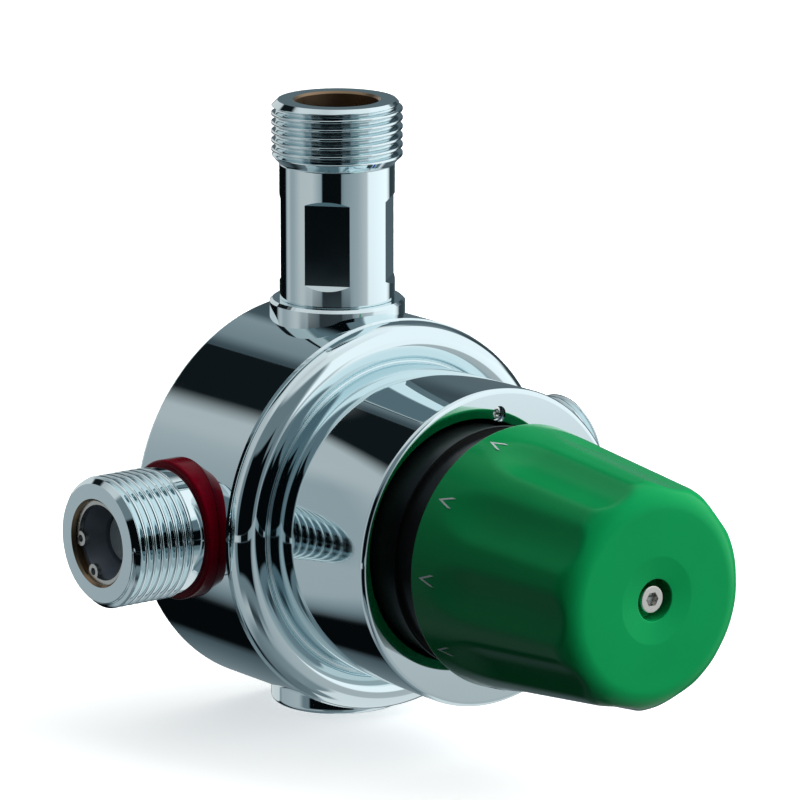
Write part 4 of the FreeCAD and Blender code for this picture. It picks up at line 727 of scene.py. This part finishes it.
# angle from the middle of the nearest flute
step = maths(fluting, "DIVIDE", 2 * math.pi, given.outputs["Count"])
half_step = maths(fluting, "DIVIDE", step, 2.0)
from_first = maths(fluting, "SUBTRACT", angle, given.outputs["First Angle"])
wrapped = maths(fluting, "FLOORED_MODULO", maths(fluting, "ADD", from_first, half_step), step)
beside_flute = maths(fluting, "SUBTRACT", wrapped, half_step)

# radius of the flute's floor: straight in front, and rising on an arc to the skirt where it starts
run = given.outputs["Run Radius"]
tangent = maths(fluting, "ADD", given.outputs["Start"], maths(fluting, "SQRT", maths(
    fluting, "MULTIPLY", maths(fluting, "MULTIPLY", run, 2.0), given.outputs["Depth"])))
short = maths(fluting, "MAXIMUM", maths(fluting, "SUBTRACT", tangent, z), 0.0)
fall = maths(fluting, "SQRT", maths(fluting, "MAXIMUM", maths(
    fluting, "SUBTRACT", maths(fluting, "MULTIPLY", run, run),
    maths(fluting, "MULTIPLY", short, short)), 0.0))
rise = maths(fluting, "SUBTRACT", run, fall)
straight_floor = maths(fluting, "SUBTRACT", maths(
    fluting, "SUBTRACT", given.outputs["Rear Radius"], given.outputs["Depth"]),
    maths(fluting, "MULTIPLY", z, given.outputs["Taper"]))
floor = maths(fluting, "ADD", rise, straight_floor)

# the hollow's wall at this angle: a circle of the floor radius that stands outside the knob
hollow = given.outputs["Floor Radius"]
reach = maths(fluting, "ADD", floor, hollow)
swing = maths(fluting, "MULTIPLY", reach, maths(fluting, "SINE", beside_flute))
chord = maths(fluting, "SQRT", maths(fluting, "MAXIMUM", maths(fluting, "SUBTRACT", maths(
    fluting, "MULTIPLY", hollow, hollow), maths(fluting, "MULTIPLY", swing, swing)), 0.0))
pressed = maths(fluting, "SUBTRACT",
                maths(fluting, "MULTIPLY", reach, maths(fluting, "COSINE", beside_flute)), chord)

# the moulding follows the hollow where it is lower, and its inside stays as it is
softened = maths(fluting, "SMOOTH_MIN", radius, pressed, given.outputs["Soft Edge"])
inside = maths(fluting, "LESS_THAN", radius, given.outputs["Inner Limit"])
new_radius = maths(fluting, "ADD", maths(fluting, "MULTIPLY", inside, radius), maths(
    fluting, "MULTIPLY", maths(fluting, "SUBTRACT", 1.0, inside), softened))
fluted = set_radius(fluting, given.outputs["Geometry"], x, y, z, radius, new_radius)
end_tree(fluting, fluted, out, knob_green)


def skirt(height, wall=0.0):
    """Radius of the skirt at a height above its rear edge."""
    return REAR_RADIUS - TAPER * height - wall


corner = eased([(4.0, skirt(4.0), 0), (LENGTH, skirt(LENGTH), 5.2), (LENGTH, 8.6, 0)], step=3.0)[1:-1]
CAVITY = LENGTH - 3.2
rear = eased([(CAVITY, skirt(CAVITY, WALL), 0), (0.0, skirt(0, WALL), 0.2), (0.0, skirt(0), 0.45),
              (*corner[0], 0)])
SKIRT_ROWS = 70
skirt_start, skirt_end = rear[-2][0], corner[0][0]
straight = [skirt_start + (skirt_end - skirt_start) * k / SKIRT_ROWS for k in range(1, SKIRT_ROWS)]
wall = rear[:-1] + [(height, skirt(height)) for height in straight] + corner
RECESS_FLOOR, CROWN = LENGTH - 4.3, LENGTH - 6.5
front = eased([(LENGTH, 12.0, 0), (LENGTH, 8.6, 1.2), (LENGTH - 0.5, SCREW_RECESS, 0.25),
               (RECESS_FLOOR, SCREW_RECESS, 0.1), (RECESS_FLOOR, SCREW_HOLE, 0), (CROWN, SCREW_HOLE, 0),
               (CROWN, 5.0, 0), (3.8, 5.0, 0), (3.8, 8.0, 0.2), (CAVITY, 8.0, 0.5)])
knob = new_piece("knob_moulding", turned(wall + front[1:], "Z", 360), knob_green)
FIRST_FLUTE = math.radians(90 - 15.8)
run_tree(knob, fluting, {"First Angle": FIRST_FLUTE, "Inner Limit": 0.0165})
knob.data.transform(Matrix.Translation((0, REAR_Y / 1000, 0)) @ Matrix.Rotation(math.pi / 2, 4, "X"))
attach(knob, "handle")
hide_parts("knob")

# Dial marks: seven plain chevrons printed on the skirt's rear edge, thirty-five degrees apart.
# A node tree bends one flat chevron round the skirt and repeats it.
# The ink is a pale blue-white, a few hundredths of a millimetre thick.
mark_white = plastic("mark_white", (0.62, 0.72, 0.74, 1.0),
                     {"Grain scale": 4000.0, "Dullest": 0.6, "Brightest": 0.45}, 0.2)
printing, given, out = geometry_tree("print_chevrons", {
    "Count": 7, "First Angle": 0.0, "Step": 0.6, "Rear Radius": REAR_RADIUS / 1000, "Taper": TAPER})
across, height, lift = places(printing)
radius = maths(printing, "ADD", lift, maths(printing, "SUBTRACT", given.outputs["Rear Radius"], maths(
    printing, "MULTIPLY", height, given.outputs["Taper"])))
bent = move_points(printing, given.outputs["Geometry"],
                   maths(printing, "MULTIPLY", radius, maths(printing, "SINE", across)),
                   maths(printing, "SUBTRACT", REAR_Y / 1000, height),
                   maths(printing, "MULTIPLY", radius, maths(printing, "COSINE", across)))
spots = printing.nodes.new("GeometryNodePoints")
printing.links.new(given.outputs["Count"], spots.inputs["Count"])
number = printing.nodes.new("GeometryNodeInputIndex")
turn = printing.nodes.new("ShaderNodeCombineXYZ")
printing.links.new(maths(printing, "SUBTRACT", given.outputs["First Angle"], maths(
    printing, "MULTIPLY", number.outputs[0], given.outputs["Step"])), turn.inputs[1])
repeat = printing.nodes.new("GeometryNodeInstanceOnPoints")
printing.links.new(spots.outputs[0], repeat.inputs["Points"])
printing.links.new(bent, repeat.inputs["Instance"])
printing.links.new(turn.outputs[0], repeat.inputs["Rotation"])
end_tree(printing, repeat.outputs["Instances"], out, mark_white)

# One chevron lies flat: across is an angle, its height a place on the skirt, its lift the ink.
APEX, ARM_END, HALF, LINE = 2.9, 6.0, math.radians(2.45), 0.36
SKIRT_AT_MARKS = 26.0
INK_BELOW, INK_ABOVE = -0.03, 0.02
ARM_STEPS = 8
slope = math.atan2(ARM_END - APEX, HALF * SKIRT_AT_MARKS)
made = bmesh.new()
strips = []
for lift in (INK_BELOW, INK_ABOVE):
    for edge_shift in (-LINE / 2, LINE / 2):
        row = []
        for k in range(-ARM_STEPS, ARM_STEPS + 1):
            arm = APEX + (ARM_END - APEX) * abs(k) / ARM_STEPS + edge_shift / math.cos(slope)
            row.append(made.verts.new((HALF * k / ARM_STEPS, arm / 1000, lift / 1000)))
        strips.append(row)
for k in range(2 * ARM_STEPS):
    a, b, c, d = strips
    made.faces.new((a[k], a[k + 1], b[k + 1], b[k]))
    made.faces.new((c[k], d[k], d[k + 1], c[k + 1]))
    made.faces.new((a[k], c[k], c[k + 1], a[k + 1]))
    made.faces.new((b[k], b[k + 1], d[k + 1], d[k]))
for k in (0, 2 * ARM_STEPS):
    made.faces.new([strips[n][k] for n in (0, 1, 3, 2)])
bmesh.ops.recalc_face_normals(made, faces=made.faces)
marks = new_piece("dial_marks", made, mark_white)
FIRST_MARK, MARK_STEP = math.radians(-19.3), math.radians(35.0)
run_tree(marks, printing, {"First Angle": FIRST_MARK, "Step": MARK_STEP})
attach(marks, "handle")

# Knob screw: a stainless socket head screw at the bottom of the recess, which holds the knob on
# the spindle. Its socket is hexagonal and its rim is eased.
knob_screw = socket_screw("knob_cap_screw", front=-99.7, head=2.75, shank=1.5, rear=-84.7, shoulder=-96.7,
                          across=2.5, depth=1.5, easing=0.3, material=stainless)
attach(knob_screw, "handle")
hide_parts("knob_screw")

# Studio: a pale paper floor under the lower boss, and round it the soft boxes, grey cloths and black
# cards that a chromed piece is photographed between. They show only in what the piece mirrors.
FLOOR_Z = -0.0419
FLOOR_RADIUS = 6.0
made = bmesh.new()
bmesh.ops.create_circle(made, cap_ends=True, segments=96, radius=FLOOR_RADIUS)
floor_plate = new_piece("studio_floor", made)
for vertex in floor_plate.data.vertices:
    vertex.co.z = FLOOR_Z - 0.0001
paper = bpy.data.materials.new("floor_paper")
paper.use_nodes = True
for label, value in (("Base Color", (0.93, 0.94, 0.94, 1.0)), ("Roughness", 0.9),
                     ("Emission Color", (0.97, 0.99, 1.0, 1.0)), ("Emission Strength", 0.58)):
    paper.node_tree.nodes["Principled BSDF"].inputs[label].default_value = value
keep(floor_plate, paper)
floor_plate.visible_glossy = False
floor_plate.visible_diffuse = False

world = bpy.data.worlds.new("studio")
bpy.context.scene.world = world
world.use_nodes = True

# Each direction has a compass bearing, 0 in front and growing towards +X, and a height, in degrees.
tree = world.node_tree
tree.nodes.clear()
place = tree.nodes.new("ShaderNodeTexCoord")
parts = tree.nodes.new("ShaderNodeSeparateXYZ")
tree.links.new(place.outputs["Generated"], parts.inputs[0])
x, y, z = parts.outputs
angle = maths(tree, "ARCTAN2", x, maths(tree, "MULTIPLY", y, -1.0))
around = maths(tree, "ADD", maths(tree, "DIVIDE", angle, 2 * math.pi), 0.5)
compass = maths(tree, "MULTIPLY", maths(tree, "SUBTRACT", around, 0.5), 360.0)
height = maths(tree, "MULTIPLY", maths(tree, "ARCSINE", z), 180 / math.pi)


def cool(value):
    """The colour of a screen or box: grey cloth is a little blue, a lit box is neutral."""
    lit = min(value / 0.6, 1.0)
    return (value * (0.66 + 0.30 * lit), value * 0.99, value * (1.16 - 0.16 * lit), 1.0)


def screens(stops):
    """Brightness round the horizon: (degrees from the front towards +X, brightness)."""
    ramp = tree.nodes.new("ShaderNodeValToRGB")
    tree.links.new(around, ramp.inputs["Fac"])
    band = ramp.color_ramp
    while len(band.elements) > 1:
        band.elements.remove(band.elements[-1])
    for index, (degrees, value) in enumerate(stops):
        spot = (degrees + 180) / 360
        element = band.elements[0] if index == 0 else band.elements.new(spot)
        element.position = spot
        element.color = cool(value)
    return ramp.outputs["Color"]


def blend_at(low, high, level, width):
    """Goes from one screen to another round a height in degrees."""
    share = spread(tree, height, floor=level - width, top=level + width, curve="SMOOTHSTEP")
    return colour_mix(tree, share, low, high)


# Five screens hang one above the other. The upright tube mirrors the level one: a black strip, dark
# edges and the greys between.
DARK = 0.003
level_band = screens([
    (-180, DARK), (-161.5, DARK), (-159, 0.30), (-155, 0.52), (-149, 0.55), (-142, 0.41), (-134, 0.42),
    (-115, 0.60), (-88, 0.62), (-75, 0.46), (-68, 0.36), (-67, 0.004), (-29.5, 0.004), (-28, 0.26),
    (-22, 0.34), (4, 0.44), (24, 0.62), (29, 1.1), (78, 1.25), (86, 0.9), (93, 0.05), (117, 0.06),
    (123, 0.14), (145, 0.16), (152, 0.12), (157, DARK)])
low_band = screens([
    (-180, DARK), (-162, DARK), (-156, 0.25), (-150, 0.45), (-72, 0.55), (-64, 0.05), (-30, 0.05),
    (-24, 0.40), (20, 0.5), (80, 0.6), (95, 0.1), (120, 0.12), (145, 0.25), (170, 0.10), (176, DARK)])
high_band = screens([
    (-180, 0.01), (-157, 0.01), (-152, 0.55), (-72, 0.65), (-64, 0.05), (-30, 0.05), (-24, 0.60),
    (20, 0.9), (80, 1.2), (95, 0.3), (125, 0.16), (142, 0.15), (150, 0.08), (156, 0.10), (160, 0.33),
    (172, 0.27), (178, 0.08)])
top_band = screens([(-180, 0.9), (-90, 0.7), (0, 0.9), (90, 1.1), (180, 0.9)])
bottom_band = screens([(-180, 0.18), (0, 0.30), (180, 0.18)])
seen = blend_at(bottom_band, low_band, -52, 8)
seen = blend_at(seen, level_band, -14, 2.6)
seen = blend_at(seen, high_band, 22, 5)
seen = blend_at(seen, top_band, 48, 6)

# A soft box stands right behind the valve and lights its rear face. A slit in it leaves the dark edge
# of the tube, whose mirrored rays all leave at nearly one height.
SLIT_HEIGHT = -10.7
from_slit = maths(tree, "ABSOLUTE", maths(tree, "ADD", height, -SLIT_HEIGHT))
beside_slit = spread(tree, from_slit, floor=1.9, top=2.6, curve="SMOOTHSTEP")
box_behind = maths(tree, "MULTIPLY", spread(tree, y, floor=0.87, top=0.91, curve="SMOOTHSTEP"), beside_slit)
seen = colour_mix(tree, box_behind, seen, cool(0.75))


def card(behind, left, right, low, high, brightness, soft=3.0, below=None, above=None):
    """A box or screen hung before the others: its sides and its lower and upper edge in degrees.
    Its edges are as soft as given. Below and above give the lower and upper edge their own softness."""
    cover_share = 1.0
    for value, edge, way, blur in ((compass, left, 1, soft), (compass, right, -1, soft),
                                   (height, low, 1, below or soft), (height, high, -1, above or soft)):
        share = spread(tree, value, floor=edge - way * blur, top=edge + way * blur, curve="SMOOTHSTEP")
        cover_share = maths(tree, "MULTIPLY", share, cover_share)
    return colour_mix(tree, cover_share, behind, cool(brightness))


# two soft boxes: one beside the knob, one low down for the undersides
seen = card(seen, 6, 100, 10, 56, 1.15)
seen = card(seen, 30, 150, -75, -42, 0.85)

# grey cloth on the left, which the collar and the drum mirror, open only at the tube's slit
CLOTH = 0.22
SLIT_TOP, SLIT_BOTTOM = -9.2, -12.5
seen = card(seen, -104, 4, 20, 60, CLOTH, 6)
seen = card(seen, -104, -6, -40, SLIT_BOTTOM, CLOTH, 6, above=0.4)
seen = card(seen, -104, 4, SLIT_TOP, 24, CLOTH, 6, below=0.4)

# black cards before the cloth, for the black strips on the bead
seen = card(seen, -88, -27, SLIT_TOP, 30, DARK, 2, below=0.4)
seen = card(seen, -60, -11, SLIT_TOP, 15, DARK, 2, below=0.4)
seen = card(seen, -88, -11, -28, SLIT_BOTTOM, DARK, 2, above=0.4)

# Mirrors see the boxes and screens, matt surfaces an even soft light from the right and above, and
# the camera a white backdrop.
ray = tree.nodes.new("ShaderNodeLightPath")
boxes = tree.nodes.new("ShaderNodeBackground")
tree.links.new(seen, boxes.inputs["Color"])
boxes.inputs["Strength"].default_value = 1.0
soft = tree.nodes.new("ShaderNodeBackground")
soft.inputs["Color"].default_value = (0.96, 0.99, 1.0, 1.0)
lean_x, lean_y, lean_z = [maths(tree, "MULTIPLY", part, weight)
                          for part, weight in ((x, 0.64), (y, -0.38), (z, 0.70))]
lean = maths(tree, "MAXIMUM", maths(tree, "ADD", maths(tree, "ADD", lean_x, lean_y), lean_z), 0.0)
tree.links.new(maths(tree, "ADD", maths(tree, "MULTIPLY", lean, 0.55), 0.05), soft.inputs["Strength"])
backdrop = tree.nodes.new("ShaderNodeBackground")
backdrop.inputs["Color"].default_value = (1.0, 1.0, 1.0, 1.0)
backdrop.inputs["Strength"].default_value = 1.05
mirror = tree.nodes.new("ShaderNodeMixShader")
tree.links.new(ray.outputs["Is Glossy Ray"], mirror.inputs[0])
tree.links.new(soft.outputs[0], mirror.inputs[1])
tree.links.new(boxes.outputs[0], mirror.inputs[2])
shown = tree.nodes.new("ShaderNodeMixShader")
tree.links.new(ray.outputs["Is Camera Ray"], shown.inputs[0])
tree.links.new(mirror.outputs[0], shown.inputs[1])
tree.links.new(backdrop.outputs[0], shown.inputs[2])
tree.links.new(shown.outputs[0], tree.nodes.new("ShaderNodeOutputWorld").inputs["Surface"])


def soft_sun(name, toward, strength, angle):
    """An even soft light from far away. Mirrors don't see it, since they see the screens."""
    light = bpy.data.lights.new(name, "SUN")
    light.energy = strength
    light.angle = math.radians(angle)
    light.color = (1.0, 0.99, 0.97)
    lamp = bpy.data.objects.new(name, light)
    lamp.rotation_euler = Vector(toward).to_track_quat("Z", "Y").to_euler()
    lamp.visible_glossy = False
    bpy.context.scene.collection.objects.link(lamp)


soft_sun("key_light", (0.86, -0.60, 0.50), 3.75, 62)
soft_sun("top_light", (0.1, 0.1, 1.0), 0.7, 80)

# Camera: a long lens, thirty-eight degrees to the left of the knob's axis and thirteen above it.
AZIMUTH, ELEVATION, DISTANCE = math.radians(-37.59), math.radians(13.27), 1.300
SHIFT_RIGHT, SHIFT_UP = 0.01262, 0.01997
back = Vector((math.sin(AZIMUTH) * math.cos(ELEVATION), -math.cos(AZIMUTH) * math.cos(ELEVATION),
               math.sin(ELEVATION)))
right = Vector((math.cos(AZIMUTH), math.sin(AZIMUTH), 0.0))
up = back.cross(right)
lens = bpy.data.cameras.new("long_lens")
lens.lens = 288.24
lens.sensor_width = 36.0
lens.clip_start = 0.05
camera = bpy.data.objects.new("camera", lens)
stand = back * DISTANCE + right * SHIFT_RIGHT + up * SHIFT_UP
camera.matrix_world = Matrix.Translation(stand) @ Matrix((right, up, back)).transposed().to_4x4()
bpy.context.scene.collection.objects.link(camera)
bpy.context.scene.camera = camera
bpy.context.scene.view_settings.view_transform = "Standard"
